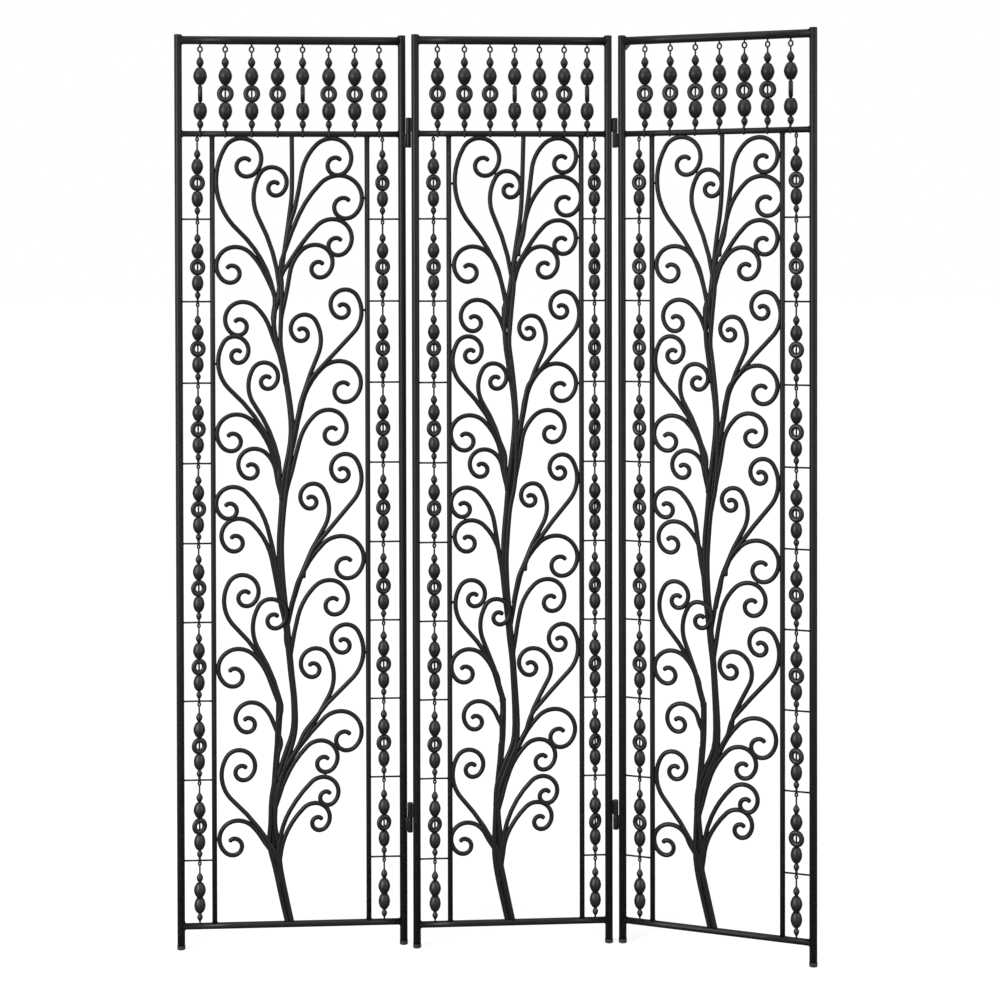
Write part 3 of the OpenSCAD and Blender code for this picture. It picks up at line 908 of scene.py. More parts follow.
WIDE_RIGHT = [
    Scroll(1, 297, 1579, 37.5, 225, 1445, 13), Scroll(1, 311, 1507, 44, 205, 1360, 18),
    Scroll(1, 298, 1422, 37, 213, 1337, 32), Scroll(1, 264, 1372, 33.5, 205, 1265, 12),
    Scroll(-1, 323, 1284, 29, 276, 1134, 43), Scroll(-1, 243, 1236, 27, 242, 1086, 17),
    Scroll(1, 310, 1145, 42, 222, 990, 10), Scroll(1, 289, 1050, 35, 218, 933, 13),
    Scroll(-1, 322, 963, 28, 275, 799, 40), Scroll(-1, 259, 906, 25.5, 238, 736, 20),
    Scroll(1, 313, 803, 43.5, 208, 630, 11), Scroll(1, 290, 717, 35.5, 215, 580, 8),
    Scroll(-1, 322, 630, 29, 246, 428, 36), Scroll(-1, 263, 584, 29.5, 243, 411, 31),
    Scroll(1, 311, 460, 40.5, 192, 324, 22), Scroll(1, 272, 403, 32.5, 189, 290, 15),
    Scroll(1, 277, 332, 29, 191, 202, 5), Scroll(1, 261, 281, 28, 193, 180, 6)]
LIFTS = (-4, -3, -2, -3, 0, -1, 0, -1, 0, -2, 2, 5, 7, 6, 1, 2, 3, 4)
RIGHT_RIGHT = [scroll.moved(0, up) for scroll, up in zip(NARROW_RIGHT, LIFTS)]
SWAYS = (0, 0, 0, 0, 1, 1, 2, 1, 3, 3, 4, 3, 3, 4, 4, 2)
RIGHT_LEFT = [scroll.moved(by, 0) for scroll, by in zip(NARROW_LEFT, SWAYS)]

# A stem's rows are height, left side and right side. A limb's or a leader's are height and place.
WIDE_STEM = [(44, 203, 219), (96, 191, 208), (153, 179, 197), (200, 168, 192), (245, 170, 186),
             (296, 172, 191), (350, 184, 206), (417, 211, 226), (478, 214, 227), (540, 208, 221),
             (640, 198, 212), (726, 189, 204), (789, 187, 202), (851, 191, 206), (914, 196, 213),
             (1009, 211, 224), (1119, 199, 211), (1179, 184, 200), (1240, 175, 202),
             (1300, 172, 204)]
NARROW_STEM = [(44, 174, 192), (126, 156, 175), (169, 149, 167), (203, 148, 168), (270, 150, 163),
               (313, 152, 168), (356, 165, 184), (413, 186, 202), (539, 183, 196), (608, 176, 190),
               (654, 172, 187), (697, 168, 183), (751, 166, 181), (797, 166, 183), (855, 171, 188),
               (912, 176, 198), (1008, 187, 201), (1066, 186, 199), (1137, 176, 192),
               (1180, 170, 186), (1240, 167, 191), (1300, 163, 197)]
RIGHT_STEM = [(z, low + max(0.0, (213 - z) / 40), high + max(0.0, (213 - z) / 40))
              for z, low, high in NARROW_STEM]
WIDE_LIMB = [(325, 182), (365, 185), (402, 188), (440, 190), (480, 191)]
NARROW_LIMB = [(313, 158.5), (340, 161), (375, 165), (413, 168), (450, 169), (485, 169)]
WIDE_LEADER = [(1290, 194), (1380, 207), (1430, 214), (1480, 219), (1586, 219)]
NARROW_LEADER = [(1290, 184), (1380, 197.5), (1430, 205), (1480, 208), (1586, 211)]
RIGHT_LEADER = [(1290, 184), (1380, 194.5), (1430, 201.5), (1480, 205), (1586, 206)]


# ---------------------------------------------------------------- leaves


@dataclass(frozen=True)
class Tails:
    """How the scrolls' bars run on below their roots, in millimetres.

    A tail within reach of the stem, or within high_reach to its right above high, lies along its
    side. Any other lies beside the bar that its root leans on, which starts bar_below the root or
    lower and ends no more than bar_above under it. Tails from above crown end at crown_end or one
    to three crown_steps higher. Over settle, a tail swings from its scroll's slope into its place,
    and a tail beside a bar closes in on it by the share closing.
    """

    length: float = 62.0
    longer: float = 9.0
    settle: float = 70.0
    reach: float = 9.0
    high: float = 1300.0
    high_reach: float = 14.0
    crown: float = 1170.0
    crown_end: float = 1105.0
    crown_step: float = 17.0
    bar_below: float = 40.0
    bar_above: float = 12.0
    bar_look: float = 20.0
    bar_longer: float = 14.0
    bar_settle: float = 42.0
    beside: float = 0.8
    closing: float = 0.6
    steps: int = 12


@dataclass(frozen=True)
class Lane:
    """One bar of the stem's bundle: its share of the way across, its depth and its upper end.

    thinner is how much smaller its radius is than that of the others.
    """

    share: float
    back: float
    top: float
    thinner: float = 0.0


TAILS = Tails()
LANES = (Lane(0.0, 0.4, 1178.0), Lane(1.0, -0.4, 1150.0), Lane(0.5, 3.4, 1120.0, 0.5))


@dataclass
class Leaf:
    """One leaf of the screen, with its sizes in millimetres and degrees.

    corner is where its left post stands in the row frame and turn is how far it turns from the
    row. turned holds the strings of the top band whose rings are turned, and ring_turns says how
    far the side columns' rings are. nudge moves the whole tree across the leaf.
    """

    name: str
    corner: Pair
    turn: float
    width: float
    uprights: Pair
    columns: Pair
    strings: list[float]
    turned: dict[int, float]
    left_scrolls: list[Scroll]
    right_scrolls: list[Scroll]
    stem: list[Point]
    limb: list[Pair]
    leader: list[Pair]
    ring_turns: Pair = (23.0, 23.0)
    nudge: float = 0.0
    seed: int = 1
    # posts, rails, uprights and cross rods
    top_rail: float = 1769.0
    top_rail_r: float = 8.1
    middle_rail: float = 1587.6
    middle_rail_r: float = 5.8
    bottom_rail: float = 44.7
    bottom_rail_r: float = 6.4
    post_r: float = 7.5
    post_foot: float = 3.2
    post_top: float = 1780.0
    post_ease: float = 0.8
    upright_r: float = 5.0
    upright_low: float = 4.0
    upright_high: float = 3.5
    rungs: tuple[float, ...] = (1422, 1262, 1103.5, 947, 791.5, 637.5, 484, 330, 173)
    rod_sunk: float = 2.0
    rod_sag: float = 0.25
    rod_r: float = 1.8
    # scrolls
    bar_r: float = 4.5
    scroll_depths: tuple[float, ...] = (-1.1, -0.4, 0.3, 1.0)
    front_scroll: int = 11
    front_depth: float = -5.2
    front_rise: float = 2.2
    # stem, limb and leader
    stem_r: float = 4.8
    flare: float = 1.3
    flare_top: float = 330.0
    flare_run: float = 110.0
    lane_span: Pair = (330.0, 480.0)
    lane_width: float = 17.5
    limb_depth: float = 0.3
    limb_r: float = 3.6
    limb_half: float = 2.4
    limb_foot: float = 38.0
    leader_foot: float = 42.0
    # beads and rings: where strings start, and how uneven they are
    band_low: float = 1597.0
    bay_lift: float = 4.8
    high_lift: float = 8.4
    sunk_foot: float = 1.5
    bead_spread: Pair = (0.975, 1.01)
    ring_squeeze: float = 0.93
    ring_flat: float = 0.86
    ring_loose: float = 5.0
    edge_on: float = 45.0
    # bead wires
    wire_r: float = 1.75
    wire_foot_r: float = 2.45
    wire_foot_low: float = 4.5
    wire_foot_out: float = 0.6
    wire_bend: Point = (9.0, 13.0, 17.0)
    hook_drop: float = 2.6
    rung_hook: float = 1.2
    hook_sunk: float = 0.4
    eye_rounds: int = 22
    wire_lean: float = 10.0
    band_eye: Pair = (4.1, 5.1)
    bay_eye: Pair = (2.2, 3.6)
    # scroll welds: none at a scroll's first points or where two lines cross, nor over a wider gap
    root_points: int = 12
    crossing: float = 3.0
    bridged: float = 2.4
    roots: list[np.ndarray] = field(default_factory=list)

    def __post_init__(self) -> None:
        """Sets the leaf's place and its own source of small unevenness."""
        turn = Matrix.Rotation(math.radians(self.turn), 4, "Z")
        shift = Matrix.Translation((self.corner[0] * MM, self.corner[1] * MM, 0))
        self.place = shift @ turn @ Matrix.Scale(MM, 4)
        self.dice = random.Random(self.seed)

    def keep(self, shape: Shape, name: str, finish: bpy.types.Material, slot: str,
             *nodes: str) -> None:
        """Turns a shape into a piece that rides on this leaf.

        Args:
            shape: the gathered mesh.
            name: the piece's name after the leaf's.
            finish: its material.
            slot: the record's material slot; it is not used.
            nodes: the CAD nodes of this leaf that it stands for.
        """
        thing = shape.piece(f"{self.name}_{name}", self.place, finish)
        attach(thing, self.name)
        if nodes:
            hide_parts(*[f"{self.name}_{node}" for node in nodes])
        LOG.info("%s rides on %s", thing.name, self.name)

    def rails(self) -> list[tuple[str, float, float]]:
        """Gives each rail's name, height and radius, from the top down."""
        return [("top_rail", self.top_rail, self.top_rail_r),
                ("middle_rail", self.middle_rail, self.middle_rail_r),
                ("bottom_rail", self.bottom_rail, self.bottom_rail_r)]

    def scroll_lines(self, side: Side) -> list[np.ndarray]:
        """Gives the centre lines of one side's scrolls."""
        rows = self.left_scrolls if side is Side.LEFT else self.right_scrolls
        return [row.line() + np.array((self.nudge, 0.0)) for row in rows]

    def stem_edges(self, z: float) -> Pair:
        """Finds the stem's two sides at a height.

        Args:
            z: the height.

        Returns:
            The places of its left and right side.
        """
        heights, lows, highs = zip(*self.stem)
        return (float(np.interp(z, heights, lows)) + self.nudge,
                float(np.interp(z, heights, highs)) + self.nudge)

    def guides(self) -> list[np.ndarray]:
        """Gives the rising lines that a tail may lie along, as rows of u and z.

        Returns:
            The shank of each scroll, then the limb, the leader and the stem's two sides.
        """
        lines = [line for side in Side for line in self.scroll_lines(side)]
        found = [line[:line[:, 1].argmax() + 1] for line in lines]
        for rows in (self.limb, self.leader):
            found.append(np.array([(u + self.nudge, z) for z, u in rows]))
        for edge, inward in ((1, self.bar_r), (2, -self.bar_r)):
            found.append(np.array([(row[edge] + self.nudge + inward, row[0]) for row in self.stem]))
        return found

    def tail(self, side: Side, number: int, line: np.ndarray,
             guides: list[np.ndarray]) -> np.ndarray:
        """Carries a scroll on down the stem, or down the bar that its root leans on.

        Args:
            side: the scroll's side.
            number: its place in the table.
            line: its centre line from the root.
            guides: the lines that a tail may lie along.

        Returns:
            Points from the tail's end up to just below the root.
        """
        t, (u, z) = TAILS, line[0]
        low, high = self.stem_edges(z)
        slope = (line[1][0] - u) / (line[1][1] - z)
        length, settle, beside = t.length + t.longer * (number % 3), t.settle, 0.0
        if low - t.reach < u < high + (t.reach if z < t.high else t.high_reach):
            guide = guides[-2] if side is Side.LEFT else guides[-1]
            if z >= t.crown:
                length = z - t.crown_end - t.crown_step * (number % 4)
        else:
            near = [g for g in guides[:-2]
                    if g[0, 1] < z - t.bar_below and g[-1, 1] > z - t.bar_above] or guides[-2:]
            guide = min(near, key=lambda g: abs(np.interp(z - t.bar_look, g[:, 1], g[:, 0])
                                                - u + t.bar_look * slope))
            settle = t.bar_settle
            length = min(length + t.bar_longer, z - guide[0, 1] + t.bar_above)
            lean_on = np.interp(z, guide[:, 1], guide[:, 0])
            beside = t.beside * math.copysign(self.bar_r, u - lean_on)
        points = []
        for share in np.linspace(0, 1, t.steps + 1)[1:]:
            down = z - share * length
            goal = float(np.interp(down, guide[:, 1], guide[:, 0]))
            goal += beside * (1 - t.closing * share)
            blend = min(1.0, share * max(1.0, length / settle))
            blend = blend * blend * (3 - 2 * blend)
            points.append((goal * blend + (u - slope * share * length) * (1 - blend), down))
        return np.array(points[::-1])

    def build_scrolls(self, finishes: Finishes) -> None:
        """Bends the scrolls of both sides from round bar.

        Args:
            finishes: every finish of the screen.
        """
        guides = self.guides()
        for side in Side:
            shape = Shape()
            for k, line in enumerate(self.scroll_lines(side)):
                line = np.vstack([self.tail(side, k, line, guides), line])
                self.roots.append(line[0])
                depth = self.depth_of(side, k, line)
                path = [(float(u), float(w), float(z)) for (u, z), w in zip(line, depth)]
                shape.tube(path, self.bar_r, Sides.SCROLL.value, (0.6, 0.8))
            name = f"{side.value}_scrolls"
            self.keep(shape, f"{name}_round", finishes.scroll, "scroll_coat", name)

    def depth_of(self, side: Side, number: int, line: np.ndarray) -> np.ndarray:
        """Gives how far each point of a scroll stands off the leaf's plane.

        Args:
            side: the scroll's side.
            number: its place in the table.
            line: its centre line.

        Returns:
            One depth for each point, with minus to the front.
        """
        rest = np.full(len(line), self.scroll_depths[number % 4])
        if side is Side.LEFT and number == self.front_scroll:
            rise = np.clip(np.linspace(0, 1, len(line)) * self.front_rise, 0, 1)
            return rest + (self.front_depth - rest) * rise
        return rest

    def build_stem(self, finishes: Finishes) -> None:
        """Lays the stem's bundle of bars, its limb and its leader.

        Args:
            finishes: every finish of the screen.
        """
        shape = Shape()
        rows = []
        for z, low, high in self.stem:
            out = self.flare * min(1.0, max(0.0, (self.flare_top - z) / self.flare_run))
            rows.append((z, low + self.nudge - out, high + self.nudge + out))
        curve, radius = smooth_line(rows, 5), self.stem_r
        for lane in LANES:
            path = []
            for z, low, high in curve:
                if self.lane_span[0] < z < self.lane_span[1]:
                    low = max(low, high - self.lane_width)
                if z <= lane.top:
                    across = low + radius + lane.share * (high - low - 2 * radius)
                    path.append((float(across), lane.back, float(z)))
            shape.tube(path, radius - lane.thinner, Sides.SCROLL.value, (0, 0.5))
        for k, offset in enumerate((-self.limb_half, self.limb_half)):
            path = [(float(u + self.nudge + offset), self.limb_depth * (1 - 2 * k), float(z))
                    for z, u in run_down(self.limb, self.limb_foot)]
            shape.tube(path, self.limb_r, Sides.SCROLL.value, (0.3, 0.5))
        path = [(float(u + self.nudge), 0.0, float(z))
                for z, u in run_down(self.leader, self.leader_foot)]
        shape.tube(path, self.bar_r, Sides.SCROLL.value, (0.8, 0))
        self.keep(shape, "stem_bars", finishes.scroll, "scroll_coat", "stem")

    def build_beads(self, finishes: Finishes) -> None:
        """Turns the beads and rings of the top band and the side columns.

        Args:
            finishes: every finish of the screen.
        """
        shape = Shape()
        for k, u in enumerate(self.strings):
            self.string(shape, TOP_BEADS, u, self.band_low, self.turned.get(k, 0.0))
        self.keep(shape, "top_beads_turned", finishes.bead, "bead_coat", "top_beads")
        foot = self.bottom_rail + self.bottom_rail_r - self.sunk_foot
        for side, u, facing in zip(Side, self.columns, self.ring_turns):
            shape = Shape()
            for k, rung in enumerate(self.rungs):
                low = rung + (self.bay_lift if k else self.high_lift)
                self.string(shape, COLUMN_BEADS, u, low, facing)
            self.string(shape, COLUMN_BEADS, u, foot + self.bay_lift, None)
            name = f"{side.value}_column_beads"
            self.keep(shape, f"{name}_turned", finishes.bead, "bead_coat", name)

    def string(self, shape: Shape, beads: BeadSizes, u: float, low: float,
               facing: float | None) -> None:
        """Threads one string: a drop, an egg, a ring, an egg and a drop.

        Args:
            shape: gathers the beads.
            beads: their sizes.
            u: the string's place.
            low: the height of its lowest bead's lower end.
            facing: turn of its ring about the wire in degrees, or None where it has no ring.
        """
        low = self.bead(shape, BeadForm.DROP, u, low, beads.low_drop)
        low = self.bead(shape, BeadForm.LOW_EGG, u, low, beads.low_egg)
        if facing is not None:
            low = self.ring(shape, u, low, beads.ring, facing)
        low = self.bead(shape, BeadForm.HIGH_EGG, u, low, beads.high_egg)
        self.bead(shape, BeadForm.DROP, u, low, beads.high_drop)

    def bead(self, shape: Shape, form: BeadForm, u: float, low: float, size: Pair) -> float:
        """Adds one bead, a hair uneven as turned beads are.

        Args:
            shape: gathers the beads.
            form: the bead's outline.
            u: the string's place.
            low: the height of its lower end.
            size: its radius and height.

        Returns:
            The height of its upper end.
        """
        radius = size[0] * self.dice.uniform(*self.bead_spread)
        outline = bead_outline(form, low, size[1], radius)
        shape.turned(outline, (u, 0.0, 0.0), Sides.BEAD.value)
        return low + size[1]

    def ring(self, shape: Shape, u: float, low: float, size: Pair, facing: float) -> float:
        """Adds one ring that stands upright on its wire.

        Args:
            shape: gathers the beads.
            u: the string's place.
            low: the height of its lower end.
            size: its outer height and its bar's thickness.
            facing: turn about the wire, in degrees.

        Returns:
            The height of its upper end.
        """
        half = size[1] / 2
        centre = size[0] / 2 - half
        if abs(facing) < self.edge_on:
            facing += self.dice.uniform(-self.ring_loose, self.ring_loose)
        shape.hoop((u, 0.0, low + size[0] / 2), (centre * self.ring_squeeze, centre),
                   (half, half * self.ring_flat), facing)
        return low + size[0]

    def build_wires(self, finishes: Finishes) -> None:
        """Bends the bead wires with their eyes.

        Args:
            finishes: every finish of the screen.
        """
        shape = Shape()
        hook = self.top_rail - self.top_rail_r
        for u in self.strings:
            self.eye_wire(shape, u, self.middle_rail - self.wire_foot_low, hook - self.hook_drop,
                          self.band_eye, self.middle_rail_r + self.wire_foot_out)
            shape.lump((u, 0.0, hook - 1.4), Weld.HOOK.value, self.dice)
        lows = [*self.rungs, self.bottom_rail + self.bottom_rail_r]
        tops = [self.middle_rail - self.middle_rail_r,
                *[rung - self.rung_hook for rung in self.rungs]]
        for u in self.columns:
            for low, top in zip(lows, tops):
                self.eye_wire(shape, u, low, top + self.hook_sunk, self.bay_eye, 0.0)
        self.keep(shape, "bead_wires_bent", finishes.rod, "rod_coat", "bead_wires")

    def eye_wire(self, shape: Shape, u: float, low: float, top: float, eye: Pair,
                 front: float) -> None:
        """Bends one wire: straight through its beads, then round in an eye.

        Args:
            shape: gathers the wires.
            u: the wire's place.
            low: the height of its foot.
            top: the height of what the eye hangs from.
            eye: the eye's radii across and upright, to the wire's centre.
            front: how far in front of the leaf's plane its foot is welded, or 0.
        """
        r = self.wire_r
        middle = top - eye[1] - r
        lean = self.dice.uniform(-self.wire_lean, self.wire_lean)
        path: Path = [(u, 0.0, low)]
        if front:
            bends = [low + rise for rise in self.wire_bend]
            path = [(u, -front, low), (u, -front, bends[0]), (u, -front * 0.5, bends[1]),
                    (u, -0.6, bends[2])]
            shape.tube(path, self.wire_foot_r, Sides.WIRE_FOOT.value, (0.6, 0.6))
        path.append((u, 0.0, middle - eye[1] - 3.0))
        shape.tube(path, r, Sides.WIRE.value, (0.3, 0.3))
        shape.hoop((u, 0.0, middle), eye, (r, r), lean, self.eye_rounds, Sides.WIRE.value)
        shape.lump((u, 0.0, middle - eye[1] - 1.6), Weld.TWIST.value, self.dice)
        if front:
            at = (u, -front * 0.72, self.middle_rail - 5.6)
            shape.lump(at, Weld.WIRE_FOOT.value, self.dice)

    def build_frame(self, finishes: Finishes) -> None:
        """Builds the posts with their eased tops, the rails and the inner uprights.

        Args:
            finishes: every finish of the screen.
        """
        r, top, ease = self.post_r, self.post_top, self.post_ease
        outline = [(AXIS_R, self.post_foot), (r, self.post_foot), (r, 600.0), (r, 1200.0),
                   (r, top - ease), (r - 0.3 * ease, top - 0.3 * ease), (r - ease, top),
                   (AXIS_R, top)]
        for side, u in zip(Side, (0.0, self.width)):
            shape = Shape()
            shape.turned(outline, (u, 0.0, 0.0), Sides.POST.value)
            self.keep(shape, f"{side.value}_post_eased", finishes.frame, "frame_coat",
                      f"{side.value}_post")
        for name, z, radius in self.rails():
            shape = Shape()
            path = [(float(u), 0.0, z) for u in np.linspace(r / 2, self.width - r / 2, 5)]
            shape.tube(path, radius, Sides.RAIL.value, FLAT_ENDS)
            self.keep(shape, f"{name}_drawn", finishes.frame, "frame_coat", name)
        for side, u in zip(Side, self.uprights):
            shape = Shape()
            heights = np.linspace(self.bottom_rail + self.upright_low,
                                  self.middle_rail - self.upright_high, 5)
            path = [(u, 0.0, float(z)) for z in heights]
            shape.tube(path, self.upright_r, Sides.UPRIGHT.value, FLAT_ENDS)
            self.keep(shape, f"{side.value}_upright_drawn", finishes.frame, "frame_coat",
                      f"{side.value}_upright")

    def build_rods(self, finishes: Finishes) -> None:
        """Draws the cross rods of both columns, a hair uneven in their height.

        Args:
            finishes: every finish of the screen.
        """
        sunk = self.rod_sunk
        spans = ((self.post_r - sunk, self.uprights[0] - sunk),
                 (self.uprights[1] + sunk, self.width - self.post_r + sunk))
        for side, (start, end) in zip(Side, spans):
            shape = Shape()
            for rung in self.rungs:
                sag = self.dice.uniform(-self.rod_sag, self.rod_sag)
                path = [(start, 0.0, rung), ((start + end) / 2, 0.0, rung + sag), (end, 0.0, rung)]
                shape.tube(path, self.rod_r, Sides.ROD.value, FLAT_ENDS)
            name = f"{side.value}_cross_rods"
            self.keep(shape, f"{name}_drawn", finishes.rod, "rod_coat", name)

    def build_welds(self, finishes: Finishes) -> None:
        """Runs small welds where bars meet.

        Args:
            finishes: every finish of the screen.
        """
        shape = Shape()
        dice = self.dice
        for post, inward in ((0.0, 1.0), (self.width, -1.0)):
            for _, rail, radius in self.rails():
                for over in (-1.0, 1.0):
                    at = (post + inward * (self.post_r - 0.2), 0.0, rail + over * (radius - 0.3))
                    shape.lump(at, (1.9, radius * 0.6, 1.7), dice, dice.uniform(*WELD_LEAN))
        for bar in self.uprights:
            for (_, rail, radius), over in zip(self.rails()[1:], (-1.0, 1.0)):
                for side in (-1.0, 1.0):
                    at = (bar + side * (self.upright_r - 0.4), 0.0, rail + over * (radius - 0.1))
                    shape.lump(at, Weld.UPRIGHT_END.value, dice, dice.uniform(*WELD_LEAN))
        ends = (self.post_r, self.uprights[0] - self.upright_r,
                self.uprights[1] + self.upright_r, self.width - self.post_r)
        for rung in self.rungs:
            for end in ends:
                shape.lump((end, 0.0, rung), Weld.ROD_END.value, dice)
            for u in self.columns:
                shape.lump((u, 0.0, rung + 1.6), Weld.STRING_FOOT.value, dice)
        for u, z in self.roots:
            shape.lump((float(u), -1.0, float(z) + 3.0), Weld.TAIL_END.value, dice)
        self.scroll_welds(shape)
        self.keep(shape, "welds", finishes.weld, "frame_coat")

    def scroll_welds(self, shape: Shape) -> None:
        """Adds a weld where scrolls touch each other, an upright or the middle rail.

        Args:
            shape: gathers the welds.
        """
        lines = [line for side in Side for line in self.scroll_lines(side)]
        reach = 2 * self.bar_r + 0.7
        ceiling = self.middle_rail - self.middle_rail_r - self.bar_r - 1.5
        for k, line in enumerate(lines):
            far = line[self.root_points:]
            for other in lines[k + 1:]:
                gap = np.linalg.norm(far[:, None] - other[None], axis=2)
                i, j = np.unravel_index(gap.argmin(), gap.shape)
                if self.crossing < gap[i, j] < reach:
                    u, z = (float(v) for v in (far[i] + other[j]) / 2)
                    shape.lump((u, -0.4, z), Weld.SCROLLS.value, self.dice)
            for bar, side in zip(self.uprights, (-1.0, 1.0)):
                near, z = (float(v) for v in line[(side * line[:, 0]).argmax()])
                if abs(near - bar) < self.bar_r + self.upright_r + self.bridged:
                    u = (near + side * self.bar_r + bar - side * self.upright_r) / 2
                    shape.lump((u, 0.0, z), Weld.SCROLL_TO_UPRIGHT.value, self.dice)
            u, z = (float(v) for v in line[line[:, 1].argmax()])
            if z > ceiling:
                shape.lump((u, 0.0, z + self.bar_r), Weld.SCROLL_TO_RAIL.value, self.dice)

    def build(self, finishes: Finishes) -> None:
        """Builds and dresses the whole leaf.

        Args:
            finishes: every finish of the screen.
        """
        paint(f"{self.name}_foot_caps", finishes.rubber)
        self.build_frame(finishes)
        self.build_scrolls(finishes)
        self.build_stem(finishes)
        self.build_beads(finishes)
        self.build_wires(finishes)
        self.build_rods(finishes)
        self.build_welds(finishes)


def run_down(rows: list[Pair], further: float) -> np.ndarray:
    """Smooths a bar's rows of height and place and runs it further down from its foot.

    Args:
        rows: heights and places, from the foot up.
        further: how much lower it starts, along the slope of its first stretch.

    Returns:
        The points of the curve, as rows of height and place.
    """
    (z, u), (next_z, next_u) = rows[:2]
    slope = (next_u - u) / (next_z - z)
    return smooth_line([(z - further, u - further * slope), *rows], 6)


def paint(node: str, finish: bpy.types.Material) -> None:
    """Gives every material slot of a CAD node one finish.

    Args:
        node: the CAD node's name.
        finish: the material.
    """
    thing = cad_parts[node]
    if not thing.material_slots:
        thing.data.materials.append(finish)
    for slot in thing.material_slots:
        slot.material = finish
    LOG.info("%s keeps its CAD shape", node)


# ---------------------------------------------------------------- hinges


@dataclass
class Hinge:
    """A pair of barrel hinges between two leaves, with its sizes in millimetres.

    A web's edge and face are half its thickness and how far in from its ends that is reached.
    """

    name: str
    axis: Pair
    upper_post: Pair
    lower_post: Pair
    upper_body: str
    lower_body: str
    heights: Pair = (252.0, 1590.0)
    barrel_r: float = 5.2
    barrel_h: float = 29.0
    ease: float = 0.9
    gap: float = 0.3
    bore_r: float = 2.5
    post_r: float = 7.0
    web_inset: float = 1.2
    web_edge: Pair = (1.2, 1.5)
    web_face: Pair = (2.3, 2.6)
    web_spread: float = 0.5
    weld_lumps: int = 9
    weld_margin: float = 3.0

    def barrel_outline(self, low: float) -> Outline:
        """Gives a barrel's outline, with eased ends and the pin's seat.

        Args:
            low: the height of its lower end.

        Returns:
            Rows of radius and height.
        """
        r, h, ease = self.barrel_r, self.barrel_h, self.ease
        seat = self.bore_r + 0.5
        rows = [(seat, 0.35), (r - ease - 0.2, 0.0), (r - ease * 0.3, ease * 0.3), (r, ease),
                (r, h * 0.33), (r, h * 0.67), (r, h - ease), (r - ease * 0.3, h - ease * 0.3),
                (r - ease - 0.2, h), (seat, h - 0.35)]
        return [(radius, low + height) for radius, height in rows]

    def build(self, finishes: Finishes) -> None:
        """Builds both barrels of both hinges, with their webs.

        Args:
            finishes: every finish of the screen.
        """
        rise = self.gap / 2
        for part, body, post, shift, seed in (
                ("upper", self.upper_body, self.upper_post, rise, 7),
                ("lower", self.lower_body, self.lower_post, -rise - self.barrel_h, 8)):
            shape = Shape()
            dice = random.Random(seed)
            for height in self.heights:
                shape.turned(self.barrel_outline(height + shift), (*self.axis, 0.0),
                             Sides.BARREL.value)
                self.web(shape, post, height + shift, dice)
            thing = shape.piece(f"{self.name}_{part}_barrels_eased", Matrix.Scale(MM, 4),
                                finishes.hinge)
            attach(thing, body)
            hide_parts(f"{self.name}_{part}_barrels")
            LOG.info("%s rides on %s", thing.name, body)
        paint(f"{self.name}_pins", finishes.steel)

    def web(self, shape: Shape, post: Pair, low: float, dice: random.Random) -> None:
        """Welds a barrel to its post with a web and two runs of weld.

        Args:
            shape: gathers the hinge.
            post: the post's centre.
            low: the barrel's lower end.
            dice: the source of the weld's unevenness.
        """
        axis, tall = np.array(self.axis), self.barrel_h
        out = np.array(post) - axis
        reach = float(np.linalg.norm(out))
        out = out / reach
        side = np.array((-out[1], out[0]))
        start, end = self.barrel_r - self.web_inset, reach - self.post_r + self.web_inset
        edge, face, more = self.web_edge, self.web_face, self.web_spread
        rings = []
        for thick, height in (edge, face, (face[0], tall - face[1]), (edge[0], tall - edge[1])):
            corners = [(start, -thick), (end, -thick - more), (end, thick + more), (start, thick)]
            rings.append(np.array([(*(axis + out * a + side * b), low + height)
                                   for a, b in corners]))
        shape.loft(rings)
        margin = self.weld_margin
        for k in range(self.weld_lumps):
            height = low + margin + k * (tall - 2 * margin) / (self.weld_lumps - 1)
            for flank in (-1.0, 1.0):
                at = axis + out * ((start + end) / 2 + 0.6) + side * 2.2 * flank
                shape.lump((float(at[0]), float(at[1]), height), Weld.BARREL.value, dice)


# ---------------------------------------------------------------- studio


@dataclass(frozen=True)
class Softbox:
    """One rectangular soft light, with its places and sizes in metres and its power in watts."""

    name: str
    at: Point
    aim: Point
    size: Pair
    power: float

    def build(self) -> None:
        """Hangs the light and turns it to its aim."""
        lamp = bpy.data.lights.new(self.name, "AREA")
        lamp.shape = "RECTANGLE"
        lamp.size, lamp.size_y = self.size
        lamp.energy = self.power
        thing = bpy.data.objects.new(self.name, lamp)
        thing.location = self.at
        way_to = Vector(self.aim) - Vector(self.at)
        thing.rotation_euler = way_to.to_track_quat("-Z", "Y").to_euler()
        bpy.context.scene.collection.objects.link(thing)


